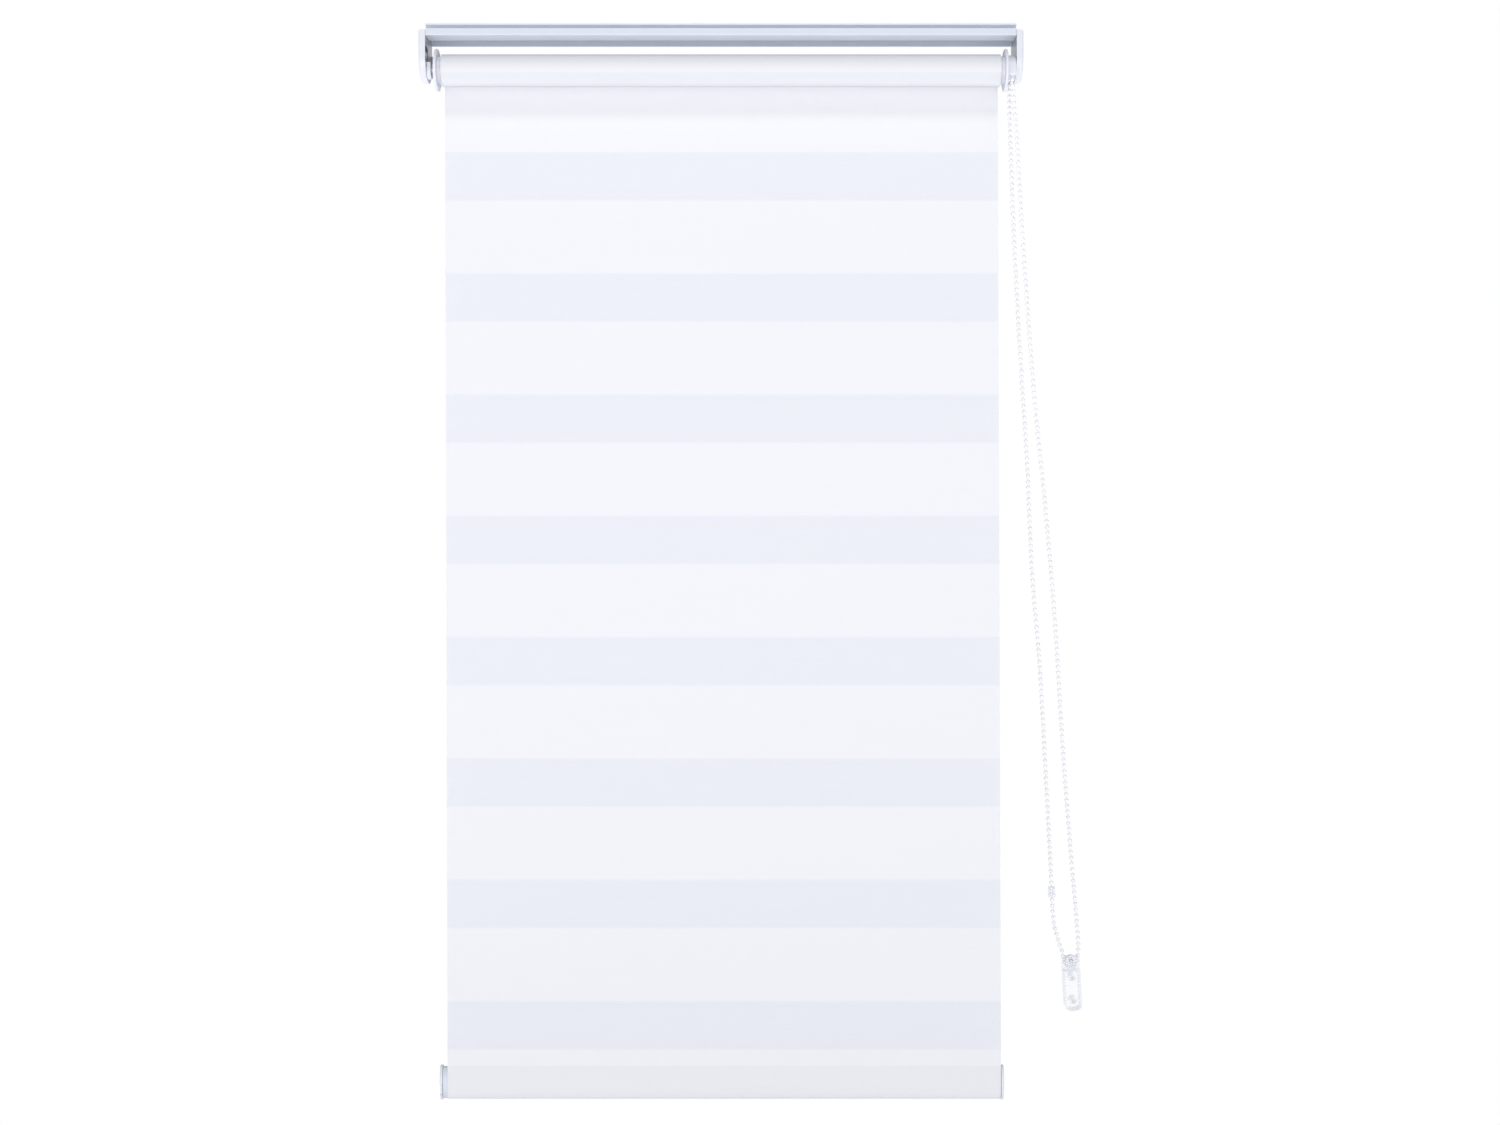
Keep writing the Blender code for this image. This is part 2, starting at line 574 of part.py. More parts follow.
def make_roller():
    """Tube with its key groove underneath, the strip in the groove and the wound fabric."""
    half = KEY_WIDTH / 2
    opening = math.degrees(math.asin(half / TUBE_RADIUS))
    outer = arc((0, 0), TUBE_RADIUS, -90 + opening, 270 - opening, 60)
    outer += [(-half, KEY_FLOOR), (half, KEY_FLOOR)]
    wide = half + TUBE_WALL
    mouth = math.degrees(math.asin(wide / TUBE_BORE))
    inner = arc((0, 0), TUBE_BORE, -90 + mouth, 270 - mouth, 60)
    inner += [(-wide, KEY_FLOOR + TUBE_WALL), (wide, KEY_FLOOR + TUBE_WALL)]
    finish("roller_tube", prism([outer, inner], "X", -TUBE_END, TUBE_END), AXIS_ORIGIN, ALUMINIUM, 0.35, 0.9)
    strip = box_outline(-half + GAP, half - GAP, -TUBE_RADIUS + GAP, KEY_FLOOR - GAP)
    insert = prism([strip], "X", -HALF_FABRIC, HALF_FABRIC)
    finish("fabric_fixing_strip", insert, AXIS_ORIGIN, WHITE, 0.5, 0.0)
    ring = [circle((0, 0), ROLL_RADIUS, 80), circle((0, 0), TUBE_RADIUS + GAP, 80)]
    finish("fabric_roll", prism(ring, "X", -HALF_FABRIC, HALF_FABRIC), AXIS_ORIGIN, WHITE, 0.9, 0.0)


def make_drive_hub():
    """Drive plug with the right disc, a neck through the guard and a rib between the spring tangs."""
    hub = finish("drive_hub", turned(plug_outline(HUB_BORE, HUB_NECK_RADIUS, 1), "X", 60), AXIS_ORIGIN,
                 OFF_WHITE, 0.45, 0.0)
    rib = box_outline(-RIB_WIDTH / 2, RIB_WIDTH / 2, SLEEVE_BORE + GAP, HUB_BORE + HUB_WALL / 2)
    boolean(hub, prism([rib], "X", SLEEVE_END + RIB_PLAY, RIB_END - RIB_PLAY), "UNION", AXIS_ORIGIN)
    cut_key(hub, 1)


def make_sprocket():
    """Chain sprocket with ball pockets, a cord slit and a slotted sleeve round the clutch springs."""
    rim = PITCH_RADIUS - GAP
    slit = BEAD_CORD_RADIUS + CORD_PLAY
    bearing = RIB_END + SPROCKET_BEARING
    shape = [(SLEEVE_END, SLEEVE_BORE), (SLEEVE_END, SLEEVE_RADIUS), (SPROCKET_IN, SLEEVE_RADIUS),
             (SPROCKET_IN, rim), (CHAIN_X - slit, rim), (CHAIN_X - slit, PITCH_RADIUS - slit),
             (CHAIN_X + slit, PITCH_RADIUS - slit), (CHAIN_X + slit, rim), (SPROCKET_OUT, rim),
             (SPROCKET_OUT, CORE_RADIUS + GAP), (bearing, CORE_RADIUS + GAP), (bearing, SLEEVE_BORE)]
    sprocket = finish("sprocket", turned(shape, "X", 36), AXIS_ORIGIN, OFF_WHITE, 0.4, 0.0)
    balls = bmesh.new()
    for k in range(POCKETS):
        angle = 2 * math.pi * k / POCKETS
        spot = Vector((CHAIN_X, PITCH_RADIUS * math.cos(angle), PITCH_RADIUS * math.sin(angle)))
        ball = bmesh.ops.create_uvsphere(balls, u_segments=8, v_segments=6, radius=BEAD_RADIUS + GAP)
        bmesh.ops.translate(balls, verts=ball["verts"], vec=spot)
    boolean(sprocket, balls, "DIFFERENCE", AXIS_ORIGIN)
    slot = box_outline(-SLEEVE_SLOT / 2, SLEEVE_SLOT / 2, CORE_RADIUS, HUB_BORE)
    boolean(sprocket, prism([slot], "X", SLEEVE_END - GAP, RIB_END), "DIFFERENCE", AXIS_ORIGIN)


def make_clutch_spring(name, start):
    """Wrap spring on the core, with both ends bent out into the sleeve's slot."""
    side = math.degrees(math.acos(TANG_OFFSET / CLUTCH_SPRING_RADIUS))
    sweep = 360 * CLUTCH_SPRING_TURNS - 2 * (90 - side)
    coil = helix(start, start + CLUTCH_SPRING_LENGTH, CLUTCH_SPRING_RADIUS, 180 - side, sweep,
                 12 * CLUTCH_SPRING_TURNS)
    tang = Vector((0, 0, SLEEVE_RADIUS - CLUTCH_SPRING_RADIUS))
    tube(name, [coil[0] + tang] + coil + [coil[-1] + tang], CLUTCH_SPRING_WIRE, STEEL, 0.3, resolution=1)


def make_winder_core():
    """Fixed spindle on the right plate: flange, square shank, screw bore and clip groove."""
    tip = CLIP_X - CORE_PAST_CLIP
    groove = (CLIP_X - GAP, CLIP_X + CLIP_THICK + GAP)
    seat = CORE_RADIUS - CLIP_SEAT
    flange_end = PLATE_X - GAP
    bore_end = PLATE_X - CORE_SCREW_DEPTH
    shape = [(tip, 0.0), (tip, CORE_RADIUS), (groove[0], CORE_RADIUS), (groove[0], seat), (groove[1], seat),
             (groove[1], CORE_RADIUS), (CORE_FLANGE_X, CORE_RADIUS), (CORE_FLANGE_X, CORE_FLANGE_RADIUS),
             (flange_end, CORE_FLANGE_RADIUS), (flange_end, 0.0)]
    core = finish("winder_core", turned(shape, "X", 40), AXIS_ORIGIN, NYLON, 0.4, 0.0)
    half = SHANK_SIDE / 2
    shank = prism([box_outline(-half, half, -half, half)], "X", flange_end - GAP, PLATE_OUT + GAP)
    boolean(core, shank, "UNION", AXIS_ORIGIN)
    bore = prism([circle((0, 0), SCREW_RADIUS + GAP, 20)], "X", bore_end, PLATE_OUT + 2 * GAP)
    boolean(core, bore, "DIFFERENCE", AXIS_ORIGIN)
    screw = screw_outline(bore_end + GAP, PLATE_OUT + 2 * GAP)
    finish("winder_screw", turned(screw, "X", 20), AXIS_ORIGIN, STEEL, 0.3, 1.0)
    ring = arc((0, 0), CORE_RADIUS + CLIP_WIDTH, CLIP_MOUTH, 360 - CLIP_MOUTH, 24)
    ring += arc((0, 0), seat + GAP, 360 - CLIP_MOUTH, CLIP_MOUTH, 24)
    finish("core_clip", prism([ring], "X", CLIP_X, CLIP_X + CLIP_THICK), AXIS_ORIGIN, STEEL, 0.3, 1.0)


def guard_outline(radius, corner, foot):
    """Guard side view about the roller's axis: round top, straight sides, rounded lower corners."""
    shape = arc((0, 0), radius, 0, 180, 28)
    shape += arc((-radius + corner, foot + corner), corner, 180, 270, 6)
    shape += arc((radius - corner, foot + corner), corner, 270, 360, 6)
    return shape


def make_chain_guard():
    """White housing over the sprocket, open to the plate and open at the foot for the chain."""
    cheek_in = SPROCKET_IN - GAP - GUARD_WALL
    body = prism([guard_outline(GUARD_RADIUS, GUARD_CORNER, -GUARD_DROP)], "X", cheek_in, HALF_RAIL)
    guard = finish("chain_guard", body, AXIS_ORIGIN, WHITE, 0.4, 0.0)
    hollow = arc((0, 0), GUARD_BORE, 0, 180, 28)
    hollow += [(-GUARD_BORE, -2 * GUARD_RADIUS), (GUARD_BORE, -2 * GUARD_RADIUS)]
    boolean(guard, prism([hollow], "X", SPROCKET_IN - GAP, PLATE_X), "DIFFERENCE", AXIS_ORIGIN)
    hole = prism([circle((0, 0), HUB_NECK_RADIUS + GAP, 40)], "X", cheek_in - GAP, SPROCKET_IN)
    boolean(guard, hole, "DIFFERENCE", AXIS_ORIGIN)


def make_rear_bar():
    """Flat strip behind the roll that holds the fabric's fixed end, with a holder on each plate."""
    front = -REAR_BAR_FROM_WALL - REAR_BAR_THICK
    top = -REAR_BAR_TOP
    reach = HALF_RAIL - HOLDER_FLOOR - GAP
    strip = box_outline(front, -REAR_BAR_FROM_WALL, HEM_BOTTOM, top)
    finish("rear_fabric_bar", prism([strip], "X", -reach, reach), HERE, ALUMINIUM, 0.4, 0.8)
    hem = box_outline(front - GAP - FABRIC_THICK, front - GAP, HEM_BOTTOM, top)
    finish("rear_fabric_hem", prism([hem], "X", -HALF_FABRIC, HALF_FABRIC), HERE, WHITE, 0.9, 0.0)
    for side, name in ((-1, "rear_bar_holder_left"), (1, "rear_bar_holder_right")):
        wall = HOLDER_WALL + GAP
        body = box_outline(front - wall, -REAR_BAR_FROM_WALL + wall, HEM_BOTTOM - wall, top + wall)
        ends = sorted((side * HALF_RAIL, side * (HALF_RAIL - HOLDER_LENGTH)))
        holder = finish(name, prism([body], "X", *ends), HERE, OFF_WHITE, 0.45, 0.0)
        inner = box_outline(front - GAP, -REAR_BAR_FROM_WALL + GAP, HEM_BOTTOM - GAP, top + GAP)
        ends = sorted((side * (HALF_RAIL - HOLDER_FLOOR), side * (HALF_RAIL - HOLDER_LENGTH - GAP)))
        boolean(holder, prism([inner], "X", *ends), "DIFFERENCE", HERE)


def make_panels():
    """Front and rear fabric layers, drawn apart by the bottom bar and swaying sideways on their way down."""
    half = FABRIC_THICK / 2
    front_low = BAR_Y - BAR_HALF_DEPTH - LOOP_GAP
    rear_low = BAR_Y + BAR_HALF_DEPTH + LOOP_GAP
    layers = (("front_fabric_panel", SHEET_BACK_Y, AXIS_Z, front_low),
              ("rear_fabric_panel", HEM_Y, HEM_BOTTOM - GAP, rear_low))
    for name, top_y, top_z, low_y in layers:
        sheet = [(low_y - half, PANEL_BOTTOM), (low_y + half, PANEL_BOTTOM), (top_y + half, top_z),
                 (top_y - half, top_z)]
        panel = prism([sheet], "X", -HALF_FABRIC, HALF_FABRIC)
        for vert in panel.verts:
            vert.co.x += FABRIC_SWAY * (top_z - vert.co.z) / (top_z - PANEL_BOTTOM)
        finish(name, panel, HERE, WHITE, 0.9, 0.0)


def make_bar_cap(side, end, name):
    """End cap: an oval plug and an oval rim with a prising notch, in front on the left cap only."""
    plug = (BAR_HALF_DEPTH - BAR_WALL - GAP, BAR_HALF_HEIGHT - BAR_WALL - GAP)
    rim = (BAR_HALF_DEPTH + CAP_RIM, BAR_HALF_HEIGHT + CAP_RIM)
    outer_face = end + side * CAP_THICK
    rings = [(end - side * CAP_PLUG, plug, 0.0), (end + side * GAP, plug, 0.0), (end + side * GAP, rim, 0.0),
             (outer_face - side * CAP_EDGE, rim, 0.0), (outer_face, rim, CAP_EDGE)]
    skin = [(station, ellipse((0, 0), size[0] - less, size[1] - less)) for station, size, less in rings]
    cap = finish(name, lofted(skin, "X"), BAR_ORIGIN, OFF_WHITE, 0.4, 0.0)
    low, high = NOTCH_FROM_MIDDLE
    face = side * rim[0]
    across = sorted((2 * face, face - side * NOTCH_DEPTH))
    ends = sorted((outer_face + side * GAP, outer_face - side * NOTCH_WIDTH))
    boolean(cap, prism([box_outline(*across, -low, -high)], "X", *ends), "DIFFERENCE", BAR_ORIGIN)


def make_bottom_bar():
    """White-coated oval tube in the fabric loop, closed by a cap at each end."""
    section = [ellipse((0, 0), BAR_HALF_DEPTH, BAR_HALF_HEIGHT),
               ellipse((0, 0), BAR_HALF_DEPTH - BAR_WALL, BAR_HALF_HEIGHT - BAR_WALL)]
    high = FABRIC_SWAY + HALF_FABRIC + GAP
    low = high - FABRIC_WIDTH - BAR_SPARE
    finish("bottom_bar", prism(section, "X", low, high), BAR_ORIGIN, WHITE, 0.35, 0.0)
    make_bar_cap(-1, low, "bottom_bar_cap_left")
    make_bar_cap(1, high, "bottom_bar_cap_right")
    outer = (BAR_HALF_DEPTH + GAP + FABRIC_THICK, BAR_HALF_HEIGHT + GAP + FABRIC_THICK)
    inner = (BAR_HALF_DEPTH + GAP, BAR_HALF_HEIGHT + GAP)
    top = PANEL_BOTTOM - GAP - BAR_Z
    around = [(outer[0] * u, outer[1] * v) for u, v in arc((0, 0), 1, 180, 360, 32)]
    back = [(inner[0] * u, inner[1] * v) for u, v in arc((0, 0), 1, 360, 180, 32)]
    loop = around + [(outer[0], top), (inner[0], top)] + back + [(-inner[0], top), (-outer[0], top)]
    wrap = prism([loop], "X", FABRIC_SWAY - HALF_FABRIC, FABRIC_SWAY + HALF_FABRIC)
    finish("bottom_fabric_loop", wrap, BAR_ORIGIN, WHITE, 0.9, 0.0)


def chain_route():
    """The chain's points: down the front strand, round the tensioner wheel, up the back strand."""
    turn = []
    for step in range(WHEEL_STEPS + 1):
        slope = -math.pi * step / WHEEL_STEPS - TENSIONER_LEAN
        turn.append((TENSIONER_X + WHEEL_PITCH_RADIUS * math.cos(slope), -TENSIONER_DEPTH / 2,
                     TENSIONER_Z + WHEEL_PITCH_RADIUS * math.sin(slope)))
    return FRONT_STRAND + turn + BACK_STRAND


def over_sprocket(along):
    """Chain centre at a length along it, from where the front strand meets the sprocket."""
    half_turn = math.pi * PITCH_RADIUS
    angle = min(max(along, 0.0), half_turn) / PITCH_RADIUS
    hang = max(-along, along - half_turn, 0.0)
    return (CHAIN_X, AXIS_Y - PITCH_RADIUS * math.cos(angle), AXIS_Z + PITCH_RADIUS * math.sin(angle) - hang)


def make_chain():
    """Bead chain: a tube round the beads for the loop, its bare cord over the sprocket, and the joiner."""
    tube("bead_chain", smooth_curve(chain_route(), CHAIN_CLOSENESS), BEAD_RADIUS, WHITE, 0.4)
    hang = AXIS_Z - STRAND_TOP - GAP
    run = 2 * hang + math.pi * PITCH_RADIUS
    steps = 6 * POCKETS // 2
    stations = [over_sprocket(run * step / steps - hang) for step in range(steps + 1)]
    tube("chain_on_sprocket", stations, BEAD_CORD_RADIUS, WHITE, 0.4)
    half, bore = JOINER_SLEEVE[0][0], BEAD_RADIUS + CORD_PLAY
    outside = [(-station, radius) for station, radius in JOINER_SLEEVE]
    outside += [(station, radius) for station, radius in reversed(JOINER_SLEEVE)]
    sleeve = [(-half, bore)] + outside + [(half, bore)]
    joiner = finish("chain_joiner", turned(sleeve, "Z", 20), JOINER_SPOT, CLEAR, 0.2, 0.0)
    joiner.rotation_euler = Vector(JOINER_LEAN).to_track_quat("Z", "Y").to_euler()


def tensioner_outline():
    """Tensioner front view in (x, z) about the wheel's centre: square shoulders, rounded foot."""
    half = TENSIONER_HALF_WIDTH
    foot = TENSIONER_TOP - TENSIONER_LENGTH
    shoulder = TENSIONER_TOP - SHOULDER_ROUND
    shape = arc((half - FOOT_ROUND, foot + FOOT_ROUND), FOOT_ROUND, -90, 0, 8)
    shape += arc((half - SHOULDER_ROUND, shoulder), SHOULDER_ROUND, 0, 90, 4)
    shape += arc((SHOULDER_ROUND - half, shoulder), SHOULDER_ROUND, 90, 180, 4)
    return shape + arc((FOOT_ROUND - half, foot + FOOT_ROUND), FOOT_ROUND, 180, 270, 8)


def pocket_outline():
    """The hollow behind the tensioner's front wall: the body's outline less its wall, under the throat."""
    half = TENSIONER_HALF_WIDTH
    foot = TENSIONER_TOP - TENSIONER_LENGTH
    inner = half - TENSIONER_WALL
    shape = arc((half - FOOT_ROUND, foot + FOOT_ROUND), FOOT_ROUND - TENSIONER_WALL, -90, 0, 8)
    shape += [(inner, POCKET_TOP), (-inner, POCKET_TOP)]
    return shape + arc((FOOT_ROUND - half, foot + FOOT_ROUND), FOOT_ROUND - TENSIONER_WALL, 180, 270, 8)


def make_tensioner():
    """Clear body with a throat for the chain, hollow from the back, with its wheel and axle."""
    spot = (TENSIONER_X, 0.0, TENSIONER_Z)
    depth = TENSIONER_DEPTH
    lean = TENSIONER_LEAN
    solid = prism([tensioner_outline()], "Y", -depth, 0.0)
    body = finish("tensioner_body", solid, spot, CLEAR, 0.1, 0.0, lean)
    wide = 2 * TENSIONER_HALF_WIDTH
    throat = box_outline(-wide, wide, -THROAT_DEPTH, TENSIONER_LENGTH)
    boolean(body, prism([throat], "Y", -depth + CHEEK_THICK, -CHEEK_THICK), "DIFFERENCE", spot, lean)
    centres = [(0.0, TENSIONER_TOP - drop) for drop in SCREW_HOLE_DROPS]
    pocket = [pocket_outline()] + [circle(centre, SCREW_BOSS_RADIUS, 24) for centre in centres]
    boolean(body, prism(pocket, "Y", -depth + TENSIONER_WALL, GAP), "DIFFERENCE", spot, lean)
    holes = [(centre, SCREW_HOLE_RADIUS) for centre in centres] + [((0.0, 0.0), AXLE_RADIUS + GAP)]
    for centre, radius in holes:
        hole = prism([circle(centre, radius, 24)], "Y", -depth - GAP, GAP)
        boolean(body, hole, "DIFFERENCE", spot, lean)
    axle = [(-depth + GAP, 0.0), (-depth + GAP, AXLE_RADIUS), (-GAP, AXLE_RADIUS), (-GAP, 0.0)]
    finish("tensioner_axle", turned(axle, "Y", 24), spot, STEEL, 0.3, 1.0, lean)
    middle = -depth / 2
    half = middle + depth - CHEEK_THICK - GAP
    rim = half - WHEEL_FLANGE
    groove = WHEEL_PITCH_RADIUS - BEAD_RADIUS - GAP
    wheel = [(-half, AXLE_RADIUS + GAP), (-half, WHEEL_FLANGE_RADIUS), (-rim, WHEEL_FLANGE_RADIUS),
             (-rim, groove), (rim, groove), (rim, WHEEL_FLANGE_RADIUS), (half, WHEEL_FLANGE_RADIUS),
             (half, AXLE_RADIUS + GAP)]
    finish("tensioner_wheel", turned(wheel, "Y", 32), (spot[0], middle, spot[2]), WHITE, 0.4, 0.0, lean)


def main():
    """Build every piece of the blind."""
    clear_scene()
    make_headrail()
    make_left_plate()
    make_right_plate()
    for side, word in ((-1, "left"), (1, "right")):
        make_cover(side, "bracket_cover_" + word)
        make_tongue_screw(side, "tongue_screw_" + word)
    make_idle_cradle()
    make_idle_end()
    make_roller()
    make_drive_hub()
    make_sprocket()
    for name, station in zip(("wrap_spring_inner", "wrap_spring_outer"), CLUTCH_SPRING_STATIONS):
        make_clutch_spring(name, SLEEVE_END + station)
    make_winder_core()
    make_chain_guard()
    make_rear_bar()
    make_panels()
    make_bottom_bar()
    make_chain()
    make_tensioner()


main()
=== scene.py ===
# %% [markdown]
# # A day-and-night roller blind, finished for the camera
# The frame that is loaded here holds the blind's rail, brackets, roller, bar and chain gear at their real
# sizes. This lesson gives that frame its cloth, its chain of beads and its finishes. Every new surface is
# worked out with numpy, as a shape carried along a path, so each one can be read as a formula.

# %% Load the frame
import json
import math

import bpy
import numpy as np
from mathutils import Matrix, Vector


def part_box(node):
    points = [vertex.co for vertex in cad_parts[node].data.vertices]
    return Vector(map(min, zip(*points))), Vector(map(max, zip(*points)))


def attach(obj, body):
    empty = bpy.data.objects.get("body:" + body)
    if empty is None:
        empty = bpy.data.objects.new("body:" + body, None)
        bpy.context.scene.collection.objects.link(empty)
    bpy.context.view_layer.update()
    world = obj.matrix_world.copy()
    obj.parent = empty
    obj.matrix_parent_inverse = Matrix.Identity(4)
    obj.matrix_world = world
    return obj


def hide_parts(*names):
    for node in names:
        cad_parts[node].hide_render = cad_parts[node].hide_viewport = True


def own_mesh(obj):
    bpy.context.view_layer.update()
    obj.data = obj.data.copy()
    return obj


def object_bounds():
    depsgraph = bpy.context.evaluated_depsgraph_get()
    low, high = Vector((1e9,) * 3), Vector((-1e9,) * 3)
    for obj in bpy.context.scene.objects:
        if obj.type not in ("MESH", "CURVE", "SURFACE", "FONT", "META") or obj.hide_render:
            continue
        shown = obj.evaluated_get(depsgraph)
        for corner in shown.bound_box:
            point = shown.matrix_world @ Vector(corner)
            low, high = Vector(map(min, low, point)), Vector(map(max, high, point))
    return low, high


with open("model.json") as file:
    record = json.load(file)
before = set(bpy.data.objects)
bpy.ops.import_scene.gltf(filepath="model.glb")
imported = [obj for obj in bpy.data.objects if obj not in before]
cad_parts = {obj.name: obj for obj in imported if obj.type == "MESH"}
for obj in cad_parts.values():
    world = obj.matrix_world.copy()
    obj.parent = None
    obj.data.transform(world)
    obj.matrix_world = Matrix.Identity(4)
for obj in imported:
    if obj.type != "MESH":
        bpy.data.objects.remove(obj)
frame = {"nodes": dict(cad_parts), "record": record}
cad_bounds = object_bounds()
print("pieces in the frame:", len(frame["nodes"]))


def corners(node):
    """Lowest and highest corner of a frame piece, as two numpy points in metres."""
    low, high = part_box(node)
    return np.array(low, float), np.array(high, float)


# %% [markdown]
# ## The eye
# The blind is seen square on from two metres away, from about the middle of its height. A level eye keeps
# the rail and the bar parallel, and being below the rail it sees the underside above the roll. The lens is
# close to a normal one, and from two metres it takes in the blind's whole height with little to spare.

# %% Camera
roll_low, roll_high = corners("fabric_roll")
axis_y = (roll_low[1] + roll_high[1]) / 2
axis_z = (roll_low[2] + roll_high[2]) / 2
EYE = (0.0295, -2.012, -0.5397)
LENS = 46.53
SENSOR = 36.0

camera_data = bpy.data.cameras.new("front_camera")
camera_data.lens = LENS
camera_data.sensor_width = SENSOR
camera = bpy.data.objects.new("front_camera", camera_data)
camera.location = EYE
camera.rotation_euler = (math.radians(90), 0.0, 0.0)
bpy.context.scene.collection.objects.link(camera)
bpy.context.scene.camera = camera
print("roller axis at", round(axis_y, 4), round(axis_z, 4))

# %% [markdown]
# ## Surfaces from loops
# A closed skin can be written as a stack of loops: each loop is a ring of points, and neighbouring rings are
# joined by four-sided faces. If a loop runs out and then back again, as round a strip of cloth, the two ends
# close with a ladder of faces between the way out and the way back. The same ladder closes a round tube.
# A Solidify modifier would also give a strip its two faces. Written out, the skin is closed from the start.


# %% Closed skins
def skin(name, loops, uv=None, sharp=38.0):
    """Mesh object from loops of points, shaped (stations, around, 3).

    Faces join point k of one loop with point k of the next. Each end is closed by a ladder whose rungs join
    point k with point around - 1 - k. If the enclosed volume comes out negative, every face is turned.
    """
    stations, around, _ = loops.shape
    points = loops.reshape(-1, 3)
    row = np.arange(stations - 1)[:, None] * around
    column = np.arange(around)[None, :]
    after = (column + 1) % around
    sides = np.stack([row + column, row + after, row + around + after, row + around + column], -1)
    rung = np.arange(around // 2 - 1)
    ladder = np.stack([rung, rung + 1, around - 2 - rung, around - 1 - rung], -1)
    last = ladder[:, ::-1] + (stations - 1) * around
    quads = np.concatenate([sides.reshape(-1, 4)[:, ::-1], ladder, last])
    a, b, c, d = (points[quads[:, k]] for k in range(4))
    volume = np.einsum("ij,ij->i", a, np.cross(b, c) + np.cross(c, d)).sum()
    if volume < 0:
        quads = quads[:, ::-1]
    mesh = bpy.data.meshes.new(name)
    mesh.from_pydata(points.tolist(), [], quads.tolist())
    if uv is not None:
        layer = mesh.uv_layers.new(name="cloth")
        layer.data.foreach_set("uv", uv.reshape(-1, 2)[quads.reshape(-1)].astype(np.float32).reshape(-1))
    mesh.shade_smooth()
    mesh.set_sharp_from_angle(angle=math.radians(sharp))
    piece = bpy.data.objects.new(name, mesh)
    bpy.context.scene.collection.objects.link(piece)
    return piece


def carried_ring(path, radii, sides, upright):
    """Round loops along a path: centre + radius * (cos(a) * n + sin(a) * b).

    n is the upright direction with its part along the path taken out, and b is square to both.
    """
    ahead = np.gradient(path, axis=0)
    ahead /= np.linalg.norm(ahead, axis=1, keepdims=True)
    n = np.array(upright)[None, :] - ahead * (ahead @ np.array(upright))[:, None]
    n /= np.linalg.norm(n, axis=1, keepdims=True)
    b = np.cross(ahead, n)
    angle = np.linspace(0, 2 * np.pi, sides, endpoint=False)
    ring = np.cos(angle)[None, :, None] * n[:, None] + np.sin(angle)[None, :, None] * b[:, None]
    return path[:, None] + radii[:, None, None] * ring


print("surfaces can be made by:", skin.__name__, "and", carried_ring.__name__)

# %% [markdown]
# ## The bead chain's line
# The chain is a thin cord with a plastic bead moulded on every 6 mm. Its line runs down the front strand,
# round the little wheel at the foot and up the back strand. It could be a Bezier curve with handles, but a
# Catmull-Rom line needs only the points that the chain passes through.

# %% Chain route
BEAD_RADIUS = 0.00225
BEAD_PITCH = 0.006
CORD_RADIUS = 0.00075
wheel_low, wheel_high = corners("tensioner_wheel")
wheel_centre = (wheel_low + wheel_high) / 2
WHEEL_POCKETS = 7
WHEEL_TURN = WHEEL_POCKETS * BEAD_PITCH / (2 * np.pi)
WHEEL_LEAN = math.radians(-3.0)
JOINER_SPOT = (0.3412, -0.0083, -0.8800)
FRONT_STRAND = [
    (0.2961, -0.0405, -0.0452), (0.2968, -0.0403, -0.0560), (0.3005, -0.0386, -0.1010),
    (0.3095, -0.0338, -0.2360), (0.3210, -0.0288, -0.3780), (0.3325, -0.0247, -0.4860),
    (0.3432, -0.0203, -0.6070), (0.3508, -0.0160, -0.7200), (0.3592, -0.0120, -0.8250),
    (0.3668, -0.0084, -0.9060), (0.3690, -0.0068, -0.9380)]
BACK_STRAND = [
    (0.3522, -0.0066, -0.9420), (0.3475, -0.0070, -0.9280), (0.3430, -0.0077, -0.9080), JOINER_SPOT,
    (0.3399, -0.0089, -0.8500), (0.3355, -0.0098, -0.7700), (0.3290, -0.0110, -0.6540),
    (0.3205, -0.0122, -0.5500), (0.3152, -0.0135, -0.4380), (0.3075, -0.0148, -0.3200),
    (0.3010, -0.0160, -0.1980), (0.2972, -0.0171, -0.1010), (0.2962, -0.0175, -0.0560),
    (0.2961, -0.0175, -0.0452)]


def wheel_points(steps=5):
    """Chain centre round the wheel's lower half: a half circle that leans with the tensioner."""
    angle = np.radians(np.linspace(0, -180, steps + 1)) - WHEEL_LEAN
    turn = np.stack([np.cos(angle), np.zeros_like(angle), np.sin(angle)], -1)
    return wheel_centre + WHEEL_TURN * turn


def smooth_line(points, steps):
    """Catmull-Rom curve through the points: each span is a cubic of its two ends and their neighbours."""
    route = np.array(points, float)
    route = np.vstack([2 * route[0] - route[1], route, 2 * route[-1] - route[-2]])
    a, b, c, d = (route[k:len(route) - 3 + k][:, None] for k in range(4))
    t = np.linspace(0, 1, steps, endpoint=False)[None, :, None]
    line = 0.5 * (2 * b + (c - a) * t + (2 * a - 5 * b + 4 * c - d) * t ** 2
                  + (3 * b - a - 3 * c + d) * t ** 3)
    return np.vstack([line.reshape(-1, 3), route[-2]])


def lengths_along(line):
    """Distance from the first point to each point of a line."""
    return np.concatenate([[0.0], np.cumsum(np.linalg.norm(np.diff(line, axis=0), axis=1))])


def read_line(line, where):
    """Points of a line at the given distances along it."""
    run = lengths_along(line)
    return np.stack([np.interp(where, run, line[:, k]) for k in range(3)], -1)


SPAN_STEPS = 24
chain_line = smooth_line(FRONT_STRAND + wheel_points().tolist() + BACK_STRAND, SPAN_STEPS)
chain_length = lengths_along(chain_line)[-1]
print("chain loop below the sprocket:", round(chain_length, 4), "m")

# %% [markdown]
# ## The beads
# Hundreds of separate balls would be wasteful, so the whole loop is one skin: a round section is carried
# along the chain's line, and its radius swells and shrinks as the beads pass. Seven stations to a bead are
# enough for it to look round, with the cord showing as a narrow waist between neighbours.

# %% Bead loop
SWELL = np.array([-1.0, -0.9, -0.55, 0.0, 0.55, 0.9, 1.0])
END_MARGIN = 0.0002


